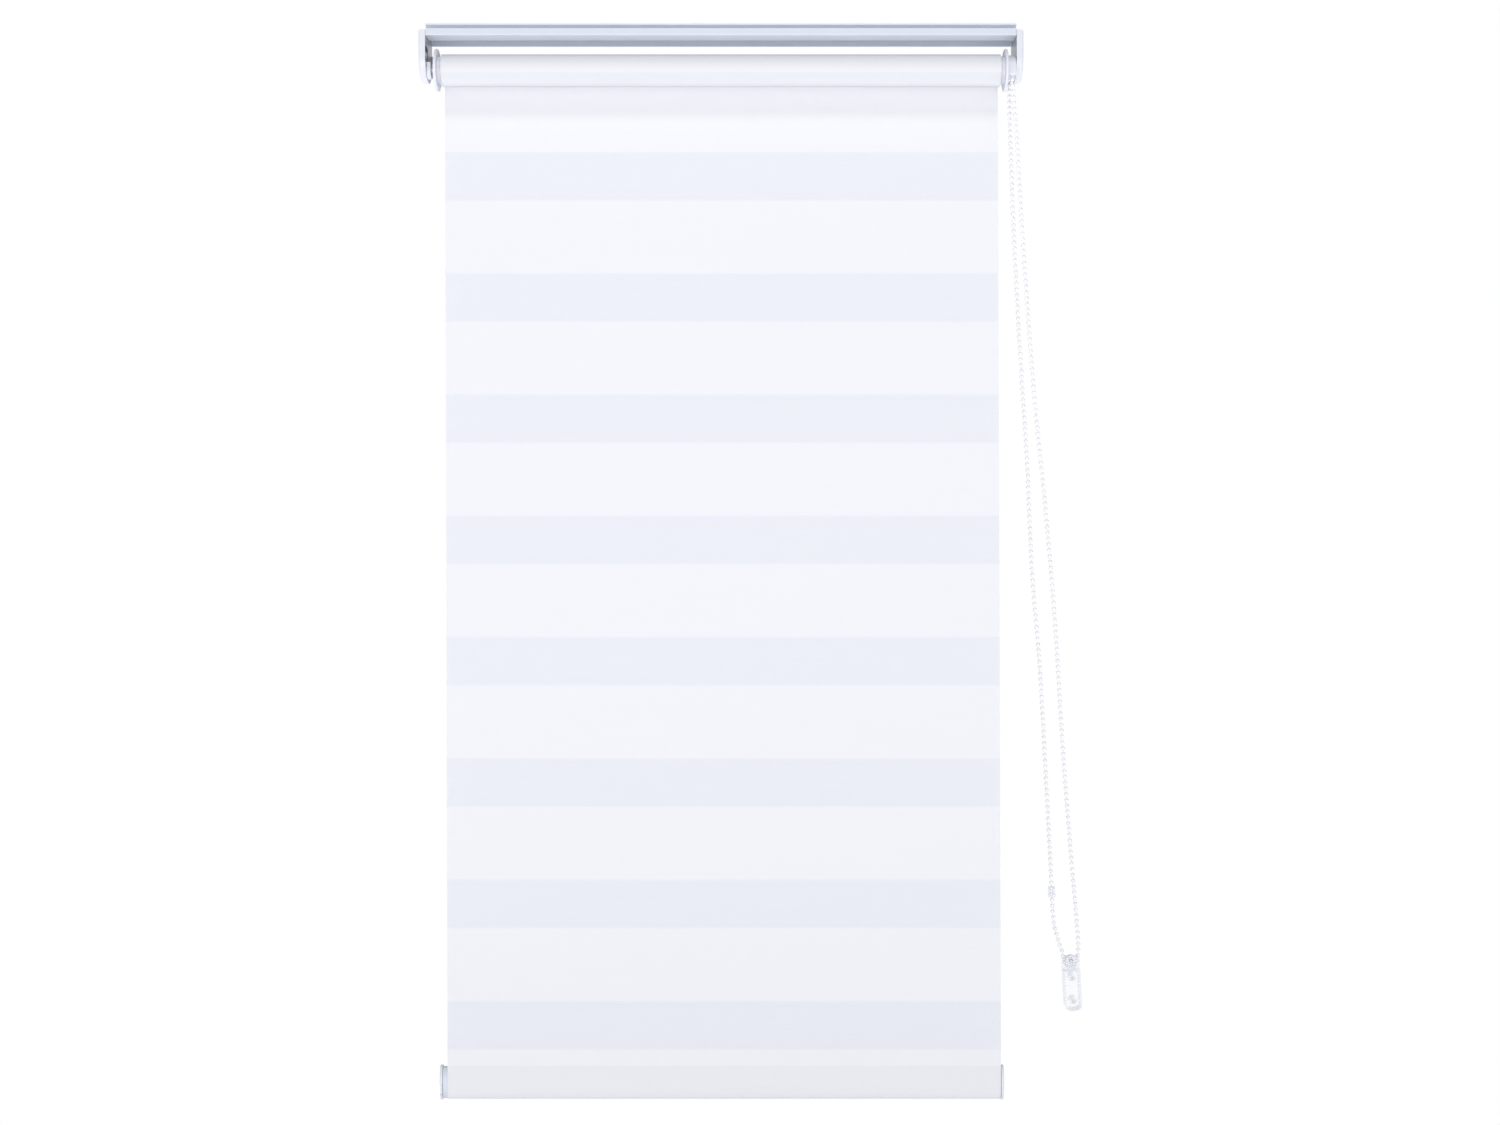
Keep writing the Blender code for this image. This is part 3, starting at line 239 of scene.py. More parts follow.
def bead_string(name, line, first, count, pitch, upright, sides=10):
    """One skin of beads: radius = bead * sqrt(1 - s^2) at the share s of a bead, never below the cord's.

    The line is read at first + k * pitch + s * bead for each bead k, and at both ends of the line.
    """
    centres = first + np.arange(count) * pitch
    where = (centres[:, None] + SWELL[None, :] * BEAD_RADIUS).reshape(-1)
    radii = np.tile(np.maximum(BEAD_RADIUS * np.sqrt(1 - SWELL ** 2), CORD_RADIUS), count)
    whole = lengths_along(line)[-1]
    keep = (where > END_MARGIN) & (where < whole - END_MARGIN)
    where = np.concatenate([[0.0], where[keep], [whole]])
    radii = np.concatenate([[CORD_RADIUS], radii[keep], [CORD_RADIUS]])
    return skin(name, carried_ring(read_line(line, where), radii, sides, upright), sharp=80.0)


FIRST_BEAD = 0.0034
bead_count = int(round((chain_length - 2 * FIRST_BEAD) / BEAD_PITCH)) + 1
loop_pitch = (chain_length - 2 * FIRST_BEAD) / (bead_count - 1)
bead_loop = bead_string("bead_loop", chain_line, FIRST_BEAD, bead_count, loop_pitch, (0, 1, 0))
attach(bead_loop, "mount")
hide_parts("bead_chain")
print("beads on the loop:", bead_count, "at", round(loop_pitch * 1000, 3), "mm")

# %% [markdown]
# ## The beads in the sprocket
# At the right end the chain goes over the drive wheel, one bead to a pocket. Twelve pockets of 6 mm go round
# it, so the pocket circle is known from the pitch, and the beads are the same kind of skin on a line that
# rises, turns over the wheel and drops. They belong to the same cord as the loop below.

# %% Beads over the sprocket
chain_x = sum(v[0] for v in corners("chain_on_sprocket")) / 2
POCKETS = 12
TOP_BEADS = 9
POCKET_CIRCLE = POCKETS * BEAD_PITCH / (2 * np.pi)


def over_sprocket(where):
    """Line over the wheel: straight up, half a circle of the pocket radius, straight down."""
    half_turn = np.pi * POCKET_CIRCLE
    angle = np.clip(where, 0, half_turn) / POCKET_CIRCLE
    hang = np.maximum(np.maximum(-where, where - half_turn), 0)
    return np.stack([np.full_like(where, chain_x), axis_y - POCKET_CIRCLE * np.cos(angle),
                     axis_z + POCKET_CIRCLE * np.sin(angle) - hang], -1)


reach = BEAD_PITCH + BEAD_RADIUS
top_line = over_sprocket(np.linspace(-reach, np.pi * POCKET_CIRCLE + reach, 400))
top_beads = bead_string("beads_over_sprocket", top_line, BEAD_RADIUS, TOP_BEADS, BEAD_PITCH, (1, 0, 0))
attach(top_beads, "mount")
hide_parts("chain_on_sprocket")
print("pocket circle radius", round(POCKET_CIRCLE * 1000, 3), "mm, with", TOP_BEADS, "beads over it")

# %% [markdown]
# ## The idle pin's spring
# The pin at the left end is pushed in to take the roller down, and a coil spring behind it pushes it out
# again. The coil is one skin. Its line is a plain helix between the pin's collar and the bush's back wall.

# %% Pin spring
SPRING_WIRE = 0.0004
SPRING_TURNS = 9
spring_low, spring_high = corners("idle_spring")
SPRING_RADIUS = (spring_high[2] - spring_low[2]) / 2 - SPRING_WIRE


def coil_line(left, right, turns, per_turn=24):
    """Helix about the roller's axis: x runs evenly from left to right while the angle makes the turns."""
    share = np.linspace(0, 1, turns * per_turn + 1)
    angle = 2 * np.pi * turns * share
    return np.stack([left + (right - left) * share, axis_y + SPRING_RADIUS * np.cos(angle),
                     axis_z + SPRING_RADIUS * np.sin(angle)], -1)


spring_line = coil_line(spring_low[0] + SPRING_WIRE, spring_high[0] - SPRING_WIRE, SPRING_TURNS)
wire = np.full(len(spring_line), SPRING_WIRE)
pin_spring = skin("pin_spring", carried_ring(spring_line, wire, 10, (1, 0, 0)), sharp=80.0)
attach(pin_spring, "mount")
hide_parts("idle_spring")
print("spring wire", round(float(lengths_along(spring_line)[-1]), 4), "m long")

# %% [markdown]
# ## The cloth
# The blind's cloth is one long strip with woven bands, 75 mm solid and 50 mm sheer. It comes off the roll,
# goes down in front, round the bar and up again behind to a fixed strip. It hangs under the bar's weight, so
# it is almost flat. A cloth simulation would settle to nearly the same plane, so the slight ripple, a few
# tenths of a millimetre, is written as crossed waves. Each layer is a thin closed skin with real cut edges.

# %% Cloth sizes
CLOTH = 0.0004
panel_high = corners("front_fabric_panel")[1]
rear_low, rear_high = corners("rear_fabric_panel")
loop_low, loop_high = corners("bottom_fabric_loop")
bar_low, bar_high = corners("bottom_bar")
bar_y = (bar_low[1] + bar_high[1]) / 2
bar_z = (bar_low[2] + bar_high[2]) / 2
half_cloth = (loop_high[0] - loop_low[0]) / 2
sway = (loop_high[0] + loop_low[0]) / 2
print("cloth width", round(2 * half_cloth, 4), "m, drifting", round(sway * 1000, 2), "mm over its drop")


# %% Hung strip
RIPPLE = 0.00032


def ripple(x, z, top, foot):
    """Slow waves that die out at both ends: a few tenths of a millimetre, from three crossed cosines."""
    ends = np.sin(np.pi * np.clip((z - foot) / (top - foot), 0, 1)) ** 0.5
    wave = 0.45 * np.cos(9.0 * x + 1.3) * np.cos(4.1 * z) + 0.30 * np.cos(17.0 * x - 6.0 * z)
    return RIPPLE * ends * (wave + 0.25 * np.cos(31.0 * x + 11.0 * z + 0.7))


def hung_layer(name, top, foot, top_y, foot_y, rows=160, columns=64):
    """Flat strip from top to foot, with a near and a far face.

    x drifts by the sway, y runs straight from top_y to foot_y, and the ripple is added to y on both faces.
    """
    z = np.linspace(top, foot, rows)[:, None]
    down = (top - z) / (top - foot)
    x = np.linspace(-half_cloth, half_cloth, columns)[None, :] + sway * down
    y = top_y + (foot_y - top_y) * down + ripple(x, z, top, foot)
    x, z = np.broadcast_arrays(x, z)
    near = np.stack([x, y - CLOTH / 2, z], -1)
    far = np.stack([x, y + CLOTH / 2, z], -1)[:, ::-1]
    return skin(name, np.concatenate([near, far], axis=1))


front_foot_y = loop_low[1] + CLOTH / 2
rear_foot_y = loop_high[1] - CLOTH / 2
front_top_y = panel_high[1] - CLOTH / 2
rear_top_y = rear_low[1] + CLOTH / 2
rear_layer_top = rear_high[2]
front_layer = hung_layer("front_cloth", axis_z, loop_high[2], front_top_y, front_foot_y)
rear_layer = hung_layer("rear_cloth", rear_layer_top, loop_high[2], rear_top_y, rear_foot_y)
print("layers hang from", round(axis_z, 4), "and", round(rear_layer_top, 4), "to", round(loop_high[2], 4))


for layer, node, top, upper in ((front_layer, "front_fabric_panel", axis_z, "fabric_roll"),
                                (rear_layer, "rear_fabric_panel", rear_layer_top, "rear_fabric_bar")):
    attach(layer, "mount")
    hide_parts(node)

# %% [markdown]
# ## Cloth that is held in shape
# Round the bar, on the roll and on the fixed strip behind, the cloth follows something solid. There its
# section is drawn as a line seen from the side: a half ellipse, a spiral of a few turns, and a short straight
# drop. The line is given the cloth's thickness and carried straight along the blind.

# %% Sections seen from the side
RISE_STEPS = 6
WOUND_GAP = 0.00005


def strip_along_x(name, left, right, middle, out, uv_along=None, columns=13):
    """Strip of cloth whose section is a line in (y, z): the line is pushed out and in by half a thickness.

    out holds the unit direction to the cloth's outer side at each point of the line.
    """
    x = np.linspace(left, right, columns)
    outer = middle + out * CLOTH / 2
    inner = middle - out * CLOTH / 2
    section = np.concatenate([outer, inner[::-1]])
    loops = np.empty((columns, len(section), 3))
    loops[:, :, 0] = x[:, None]
    loops[:, :, 1:] = section[None]
    uv = None
    if uv_along is not None:
        along = np.concatenate([uv_along, uv_along[::-1]])
        uv = np.stack(np.broadcast_arrays(x[:, None], along[None, :]), -1)
    return skin(name, loops, uv)


def bar_loop_line(steps=48):
    """Half ellipse under the bar with a straight rise on both sides up to the hung layers."""
    half_y = (loop_high[1] - loop_low[1] - CLOTH) / 2
    half_z = bar_z - loop_low[2] - CLOTH / 2
    angle = np.linspace(np.pi, 2 * np.pi, steps)
    under = np.stack([bar_y + half_y * np.cos(angle), bar_z + half_z * np.sin(angle)], -1)
    out = np.stack([np.cos(angle) / half_y, np.sin(angle) / half_z], -1)
    rise = np.linspace(loop_high[2], bar_z, RISE_STEPS, endpoint=False)
    left = np.stack([np.full_like(rise, bar_y - half_y), rise], -1)
    right = np.stack([np.full_like(rise, bar_y + half_y), rise], -1)[::-1]
    flat = np.array([[-1.0, 0.0]])
    out = np.concatenate([np.repeat(flat, RISE_STEPS, 0), out, np.repeat(-flat, RISE_STEPS, 0)])
    return np.concatenate([left, under, right]), out / np.linalg.norm(out, axis=1, keepdims=True)


def roll_line(turns=4, steps=84):
    """Outer turns of the spiral: the radius grows by one pitch each turn, up to the roll's skin at the back.

    Also returns the cloth's length inward from that end, which carries the bands on from the hung layer.
    """
    outer = roll_high[1] - axis_y - CLOTH / 2
    pitch = CLOTH + WOUND_GAP
    angle = np.linspace(-2 * np.pi * turns, 0, turns * steps + 1)
    radius = outer + pitch * angle / (2 * np.pi)
    out = np.stack([np.cos(angle), np.sin(angle)], -1)
    along = np.concatenate([[0.0], np.cumsum(radius[1:] * np.diff(angle))])
    return np.array([axis_y, axis_z]) + radius[:, None] * out, out, along[-1] - along


loop_run = lengths_along(bar_loop_line()[0])[-1]
roll_run = roll_line()[2][0]
print("round the bar", round(float(loop_run), 4), "m, on the roll", round(float(roll_run), 4), "m")

# %% Cloth round the bar, on the roll and on the rear strip
cloth_loop = strip_along_x("cloth_round_bar", sway - half_cloth, sway + half_cloth, *bar_loop_line())
wound_cloth = strip_along_x("wound_cloth", -half_cloth, half_cloth, *roll_line())
hem_low, hem_high = corners("rear_fabric_hem")
HEM_STEPS = 5
hem_y = np.full(HEM_STEPS, (hem_low[1] + hem_high[1]) / 2)
hem_line = np.stack([hem_y, np.linspace(hem_high[2], hem_low[2], HEM_STEPS)], -1)
hem_out = np.repeat([[-1.0, 0.0]], HEM_STEPS, 0)
rear_hem = strip_along_x("rear_cloth_hem", -half_cloth, half_cloth, hem_line, hem_out)
hem_run = hem_high[2] - hem_low[2]
for piece, node, body, run, hold, core in (
        (cloth_loop, "bottom_fabric_loop", "bottom_bar", loop_run, "stretched", "bottom_bar"),
        (wound_cloth, "fabric_roll", "roller", roll_run, "stretched", "roller_tube"),
        (rear_hem, "rear_fabric_hem", "mount", hem_run, "hung", "rear_fabric_bar")):
    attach(piece, body)
    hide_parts(node)
    print(piece.name, "is cut", round(float(run), 4), "m long")

# %% [markdown]
# ## Materials
# A finish is a Principled shader with its colour, roughness and bumps worked out by nodes. Nodes could be
# placed by hand in the editor. Written out, a few helpers keep each finish down to the values that make it.


# %% Shader helpers
def new_material(name, colour, roughness, **fixed):
    """Principled material; the values in fixed are set on the shader's own sockets."""
    material = bpy.data.materials.new(name)
    material.use_nodes = True
    shader = material.node_tree.nodes["Principled BSDF"]
    shader.inputs["Base Color"].default_value = (*colour, 1.0)
    shader.inputs["Roughness"].default_value = roughness
    for socket, value in fixed.items():
        shader.inputs[socket.replace("_", " ")].default_value = value
    return material, material.node_tree, shader


def add(tree, kind, **values):
    """Make a node and set its plain properties."""
    node = tree.nodes.new(kind)
    for key, value in values.items():
        setattr(node, key, value)
    return node


def math_node(tree, operation, *values):
    """Math node whose inputs are numbers or other nodes' sockets."""
    node = add(tree, "ShaderNodeMath", operation=operation)
    for k, value in enumerate(values):
        if isinstance(value, (int, float)):
            node.inputs[k].default_value = value
        else:
            tree.links.new(value, node.inputs[k])
    return node.outputs[0]


print("shader helpers made")


# %% Pattern helpers
def stretched_noise(tree, vector, stretch, detail=3.0, rough=0.55):
    """Noise read on coordinates that are scaled separately along X, Y and Z."""
    mapping = add(tree, "ShaderNodeMapping")
    mapping.inputs["Scale"].default_value = stretch
    tree.links.new(vector, mapping.inputs["Vector"])
    noise = add(tree, "ShaderNodeTexNoise")
    noise.inputs["Scale"].default_value = 1.0
    noise.inputs["Detail"].default_value = detail
    noise.inputs["Roughness"].default_value = rough
    tree.links.new(mapping.outputs[0], noise.inputs["Vector"])
    return noise.outputs[0]


def spread(tree, value, low, high):
    """Map 0..1 to low..high."""
    node = add(tree, "ShaderNodeMapRange")
    node.inputs["To Min"].default_value = low
    node.inputs["To Max"].default_value = high
    tree.links.new(value, node.inputs["Value"])
    return node.outputs[0]


def mixed_colour(tree, factor, first, second):
    """Blend of two colours, each a plain colour or a socket."""
    node = add(tree, "ShaderNodeMix", data_type="RGBA")
    tree.links.new(factor, node.inputs["Factor"])
    for key, value in (("A", first), ("B", second)):
        socket = [s for s in node.inputs if s.name == key and s.type == "RGBA"][0]
        if isinstance(value, tuple):
            socket.default_value = (*value, 1.0)
        else:
            tree.links.new(value, socket)
    return [s for s in node.outputs if s.type == "RGBA"][0]


def bump(tree, shader, height, distance, strength=1.0):
    """Feed a height to the shader's normal."""
    node = add(tree, "ShaderNodeBump")
    node.inputs["Distance"].default_value = distance
    node.inputs["Strength"].default_value = strength
    tree.links.new(height, node.inputs["Height"])
    tree.links.new(node.outputs[0], shader.inputs["Normal"])


print("pattern helpers made")

# %% [markdown]
# ### Effects that several finishes share
# Fine grain and weave are each a node group: a small tree with named inputs and outputs, made once and
# placed in every finish that needs it with that finish's own values.


# %% Group helpers
def new_group(name, inputs, outputs):
    """Empty node group with named sockets; returns it with its input and output nodes."""
    group = bpy.data.node_groups.new(name, "ShaderNodeTree")
    for label, kind in inputs:
        group.interface.new_socket(name=label, in_out="INPUT", socket_type=kind)
    for label, kind in outputs:
        group.interface.new_socket(name=label, in_out="OUTPUT", socket_type=kind)
    return group, group.nodes.new("NodeGroupInput"), group.nodes.new("NodeGroupOutput")


def place_group(tree, group, **values):
    """Use a group in a tree; underscores in names stand for spaces."""
    node = add(tree, "ShaderNodeGroup", node_tree=group)
    for key, value in values.items():
        socket = node.inputs[key.replace("_", " ")]
        if isinstance(value, bpy.types.NodeSocket):
            tree.links.new(value, socket)
        else:
            socket.default_value = value
    return node


FLOAT = "NodeSocketFloat"
VECTOR = "NodeSocketVector"
print("group helpers made")

# %% [markdown]
# ### The zebra weave
# Along the strip the pattern repeats every 125 mm. The share of the repeat that has passed tells sheer from
# solid, and two narrow marks on either side of it are the denser yarns where the weave changes. The finer
# picture is made of two sets of threads that cross, plus slubs: yarns that are thicker for a hand's width.

# %% Weave group
REPEAT = 0.125
SHEER = 0.050
SHARE = SHEER / REPEAT
MARK_AT_CHANGE = (SHARE - 0.006, 0.0075)
MARK_AT_START = (0.0085, 0.0105)
WEFT_PITCH = 0.00062
WARP_PITCH = 0.00048


def make_weave_group():
    """Bands along the strip and threads across it.

    sheer = 1 where fract((first - along) / repeat) < sheer / repeat; edge = 1 within half a mark's width of
    the mark's middle, both as shares of the repeat; thread heights are sines at the two yarn pitches.
    """
    group, source, sink = new_group(
        "zebra_weave", [("Across", FLOAT), ("Along", FLOAT), ("First", FLOAT)],
        [("Sheer", FLOAT), ("Edge", FLOAT), ("Thread", FLOAT), ("Slub", FLOAT), ("Gap", FLOAT)])
    across, along, first = (source.outputs[k] for k in ("Across", "Along", "First"))
    passed = math_node(group, "DIVIDE", math_node(group, "SUBTRACT", first, along), REPEAT)
    share = math_node(group, "FRACT", passed)
    sheer = math_node(group, "LESS_THAN", share, SHARE)
    change = math_node(group, "COMPARE", share, *MARK_AT_CHANGE)
    start = math_node(group, "COMPARE", share, *MARK_AT_START)
    edge = math_node(group, "MAXIMUM", change, start)
    weft = math_node(group, "SINE", math_node(group, "MULTIPLY", along, 2 * math.pi / WEFT_PITCH))
    warp = math_node(group, "SINE", math_node(group, "MULTIPLY", across, 2 * math.pi / WARP_PITCH))
    joined = add(group, "ShaderNodeCombineXYZ")
    group.links.new(across, joined.inputs[0])
    group.links.new(along, joined.inputs[2])
    slub = stretched_noise(group, joined.outputs[0], (5.0, 1.0, 1150.0), 2.0)
    thread = math_node(group, "ADD", math_node(group, "MULTIPLY", weft, 0.6),
                       math_node(group, "MULTIPLY", warp, 0.4))
    gap = math_node(group, "MULTIPLY", spread(group, weft, 0.75, 1.0), spread(group, warp, 0.85, 1.0))
    for label, value in (("Sheer", sheer), ("Edge", edge), ("Thread", thread), ("Slub", slub), ("Gap", gap)):
        group.links.new(value, sink.inputs[label])
    return group


weave = make_weave_group()
print("weave repeats every", REPEAT, "m, of which", round(SHARE, 3), "is sheer")

# %% [markdown]
# ### Four kinds of the same cloth
# The hung layers read their bands from their height. On the roll the bands follow the strip's own length, so
# that they carry on from the hung layer. The cloth round the bar and on the fixed strip is all solid band.
# The yarn is white, a little bluer in the sheer bands, which also let through some of what is behind them.

# %% Cloth finishes
SOLID_CLOTH = (0.868, 0.872, 0.886)
SOLID_SLUB = (0.832, 0.840, 0.862)
SHEER_CLOTH = (0.892, 0.905, 0.930)
SHEER_SLUB = (0.850, 0.872, 0.910)
MARK_CLOTH = (0.800, 0.820, 0.865)
RIM_SHADOW = (0.30, 0.31, 0.36)
OPEN_AT_GAP = 0.22
OPEN_AT_YARN = 0.06


def cloth_material(name, first, banded=True, follow_strip=False, shade=1.0, painted_rim_shade=0.0):
    """Zebra cloth. Bands are read from height on hung layers, and from the strip's own length on the roll.

    The shade value scales all the yarn colours down: painted shade for cloth with something solid behind it,
    where no light comes through.
    The last value is the share of painted shade, a dark grey mixed in where the surface turns away from the
    eye, darkening the roll's top and bottom edges.
    """
    # Painted shade: all the yarn colours are scaled down by the shade value.
    yarns = (SOLID_CLOTH, SOLID_SLUB, SHEER_CLOTH, SHEER_SLUB, MARK_CLOTH)
    solid, solid_slub, sheer_yarn, sheer_slub, mark = (tuple(shade * c for c in yarn) for yarn in yarns)
    material, tree, shader = new_material(name, solid, 0.82, Sheen_Weight=0.15, Sheen_Roughness=0.5)
    if follow_strip:
        place = add(tree, "ShaderNodeUVMap", uv_map="cloth").outputs["UV"]
    else:
        place = add(tree, "ShaderNodeTexCoord").outputs["Object"]
    parts = add(tree, "ShaderNodeSeparateXYZ")
    tree.links.new(place, parts.inputs[0])
    along = parts.outputs["Y" if follow_strip else "Z"]
    cloth = place_group(tree, weave, Across=parts.outputs[0], Along=along, First=first)
    sheer, edge, thread, slub, gap = (cloth.outputs[k] for k in ("Sheer", "Edge", "Thread", "Slub", "Gap"))
    tone = mixed_colour(tree, spread(tree, slub, 0.0, 0.55), solid, solid_slub)
    if banded:
        thin = mixed_colour(tree, spread(tree, slub, 0.0, 1.0), sheer_yarn, sheer_slub)
        tone = mixed_colour(tree, sheer, tone, thin)
        tone = mixed_colour(tree, edge, tone, mark)
        opening = math_node(tree, "MULTIPLY", sheer, spread(tree, gap, OPEN_AT_GAP, OPEN_AT_YARN))
        cover = math_node(tree, "SUBTRACT", 1.0, opening)
        tree.links.new(math_node(tree, "MAXIMUM", cover, edge), shader.inputs["Alpha"])
    # Painted shade on the roll: where the surface turns away from the eye the colour is mixed towards a dark
    # grey.
    if painted_rim_shade:
        turned = add(tree, "ShaderNodeLayerWeight").outputs["Facing"]
        rim_shade_amount = math_node(tree, "MULTIPLY", math_node(tree, "POWER", turned, 4.0), painted_rim_shade)
        tone = mixed_colour(tree, rim_shade_amount, tone, RIM_SHADOW)
    tree.links.new(tone, shader.inputs["Base Color"])
    height = math_node(tree, "ADD", thread, math_node(tree, "MULTIPLY", slub, 1.6))
    bump(tree, shader, height, distance=0.00006, strength=0.5)
    return material


FRONT_SHEER_DROP = 0.0797
REAR_SHEER_DROP = 0.0170
front_finish = cloth_material("cloth_front", axis_z - FRONT_SHEER_DROP)
rear_finish = cloth_material("cloth_rear", axis_z - REAR_SHEER_DROP)
# The cloth round the bar, on the rear strip and on the roll are darker copies whose colours carry painted
# shade.
solid_finish = cloth_material("cloth_solid_band", 0.0, banded=False, shade=0.955)
roll_finish = cloth_material("cloth_on_roll", -FRONT_SHEER_DROP, follow_strip=True, shade=0.943, painted_rim_shade=0.8)
print("sheer bands start", FRONT_SHEER_DROP, "m below the axis in front,", REAR_SHEER_DROP, "m behind")

# %% [markdown]
# ### Grain, for paint and moulded plastic
# Powder coat has a soft orange-peel skin, and moulded plastic a fainter, finer one. One group makes both: a
# large and a small noise added together, with a mask of slow drift that varies the roughness.

# %% Grain group
def make_grain_group():
    """Height = broad noise + fine noise * share, and drift = a slow noise; both read object coordinates."""
    group, source, sink = new_group(
        "surface_grain", [("Place", VECTOR), ("Size", FLOAT), ("Fine share", FLOAT)],
        [("Height", FLOAT), ("Drift", FLOAT)])
    noises = []
    for factor, detail in ((1.0, 2.0), (5.0, 3.0), (0.06, 2.0)):
        noise = add(group, "ShaderNodeTexNoise")
        noise.inputs["Detail"].default_value = detail
        group.links.new(source.outputs["Place"], noise.inputs["Vector"])
        group.links.new(math_node(group, "MULTIPLY", source.outputs["Size"], factor), noise.inputs["Scale"])
        noises.append(noise.outputs[0])
    fine = math_node(group, "MULTIPLY", noises[1], source.outputs["Fine share"])
    group.links.new(math_node(group, "ADD", noises[0], fine), sink.inputs["Height"])
    group.links.new(noises[2], sink.inputs["Drift"])
    return group


grain = make_grain_group()


def grained_material(name, light, dark, roughness, size, fine, relief, **fixed):
    """Paint or plastic: colour and roughness drift slowly, and the grain stands up by the relief."""
    material, tree, shader = new_material(name, light, roughness, **fixed)
    place = add(tree, "ShaderNodeTexCoord").outputs["Object"]
    node = place_group(tree, grain, Place=place, Size=size, Fine_share=fine)
    drift = node.outputs["Drift"]
    tree.links.new(mixed_colour(tree, drift, light, dark), shader.inputs["Base Color"])
    tree.links.new(spread(tree, drift, roughness - 0.06, roughness + 0.08), shader.inputs["Roughness"])
    bump(tree, shader, node.outputs["Height"], distance=relief, strength=0.6)
    return material


rail_finish = grained_material(
    "rail_powder_coat", light=(0.70, 0.735, 0.81), dark=(0.67, 0.705, 0.785), roughness=0.34,
    size=900.0, fine=0.4, relief=0.00004, Coat_Weight=0.15, Coat_Roughness=0.25)
cover_finish = grained_material(
    "bracket_gloss_plastic", light=(0.78, 0.80, 0.835), dark=(0.75, 0.77, 0.81), roughness=0.26,
    size=700.0, fine=0.5, relief=0.00002, Coat_Weight=0.1)
moulded_finish = grained_material(
    "mechanism_plastic", light=(0.80, 0.815, 0.86), dark=(0.76, 0.775, 0.83), roughness=0.42,
    size=1100.0, fine=0.8, relief=0.00003)
bead_finish = grained_material(
    "bead_acetal", light=(0.95, 0.95, 0.965), dark=(0.92, 0.925, 0.945), roughness=0.35,
    size=400.0, fine=0.3, relief=0.00001, Subsurface_Weight=0.6, Subsurface_Radius=(0.004, 0.004, 0.004))
print("grained finishes:", rail_finish.name, cover_finish.name, moulded_finish.name, bead_finish.name)

# %% [markdown]
# ### Metals and the clear tensioner
# Extruded aluminium shows fine die lines along its length, and zinc-plated steel a cloudy bloom. Both are
# noise, stretched one way for the lines and left round for the clouds. The tensioner is clear plastic in
# walls of two or three millimetres: its faces let the light through, and its edges, seen along the wall,
# look denser. Full glass would bend the view of every wall behind it, so a facing alpha is used instead.

# %% Metal finishes
STREAK_SHADE = 0.82


def metal_material(name, colour, roughness, stretch, depth):
    """Metal with streaks or clouds: stretched noise drives colour, roughness and a small bump."""
    material, tree, shader = new_material(name, colour, roughness, Metallic=1.0)
    place = add(tree, "ShaderNodeTexCoord").outputs["Object"]
    streak = stretched_noise(tree, place, stretch, 4.0, 0.6)
    darker = tuple(STREAK_SHADE * c for c in colour)
    tree.links.new(mixed_colour(tree, streak, colour, darker), shader.inputs["Base Color"])
    tree.links.new(spread(tree, streak, roughness - 0.1, roughness + 0.14), shader.inputs["Roughness"])
    bump(tree, shader, streak, distance=depth, strength=0.5)
    return material


aluminium_finish = metal_material(
    "die_drawn_aluminium", colour=(0.82, 0.83, 0.85), roughness=0.34, stretch=(6.0, 1800.0, 1800.0),
    depth=0.00002)
steel_finish = metal_material(
    "zinc_plated_steel", colour=(0.62, 0.63, 0.66), roughness=0.34, stretch=(260.0, 260.0, 260.0),
    depth=0.00001)
print("metal finishes:", aluminium_finish.name, steel_finish.name)

# %% Clear finish
ALPHA_FACE_ON = 0.16
ALPHA_GRAZING = 0.62


def clear_material():
    """Clear plastic in thin walls: seen through face on and denser towards its edges.

    alpha = low + (high - low) * facing, where facing rises from 0 face on to 1 at a grazing view.
    """
    material, tree, shader = new_material("clear_polycarbonate", (0.88, 0.90, 0.95), 0.1, IOR=1.58)
    place = add(tree, "ShaderNodeTexCoord").outputs["Object"]
    flow = stretched_noise(tree, place, (180.0, 180.0, 60.0), 2.0)
    tree.links.new(spread(tree, flow, 0.06, 0.2), shader.inputs["Roughness"])
    edge = add(tree, "ShaderNodeLayerWeight")
    edge.inputs["Blend"].default_value = 0.4
    alpha = spread(tree, edge.outputs["Facing"], ALPHA_FACE_ON, ALPHA_GRAZING)
    tree.links.new(alpha, shader.inputs["Alpha"])
    bump(tree, shader, flow, distance=0.00005, strength=0.4)
    return material


clear_finish = clear_material()
print("clear finish:", clear_finish.name, "covers from", ALPHA_FACE_ON, "to", ALPHA_GRAZING)

# %% [markdown]
# ## Finishes on the pieces
# Each frame piece has a slot that says what it is made of, so one table from slot to finish dresses them
# all. The cloth, the beads and the spring that were made here get theirs by name.

# %% Give every piece its finish
FINISHES = {
    "rail_paint": rail_finish, "bracket_plastic": cover_finish, "mechanism_plastic": moulded_finish,
    "steel": steel_finish, "aluminium": aluminium_finish, "chain_plastic": bead_finish,
    "clear_plastic": clear_finish}
slot_of = {entry["node"]: entry["material_slot"] for entry in frame["record"]["subparts"]}
for node, piece in frame["nodes"].items():
    finish = FINISHES.get(slot_of[node], solid_finish)
    piece.data.materials.clear()
    piece.data.materials.append(finish)
for piece, finish in ((front_layer, front_finish), (rear_layer, rear_finish), (cloth_loop, solid_finish),
                      (rear_hem, solid_finish), (wound_cloth, roll_finish), (bead_loop, bead_finish),
                      (top_beads, bead_finish), (pin_spring, steel_finish)):
    piece.data.materials.append(finish)
print("finishes on", len(frame["nodes"]), "frame pieces")

# %% [markdown]
# ## Pieces with meshes of their own
# When the bar is lifted the real cloth winds up on the roll. Here each hung layer and the pin's spring is
# given its own copy of its mesh, so that it shares no data. The hung layers read their bands from height.

# %% Own meshes for the layers and the spring
for layer, top in ((front_layer, axis_z), (rear_layer, rear_layer_top)):
    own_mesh(layer)
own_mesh(pin_spring)

# %% [markdown]
# ## The floor
# The blind hangs on a wall, so the floor is some way below it, out of the front view. It is a small pale
# sheet, with a faint cloudiness so that it isn't one flat colour.

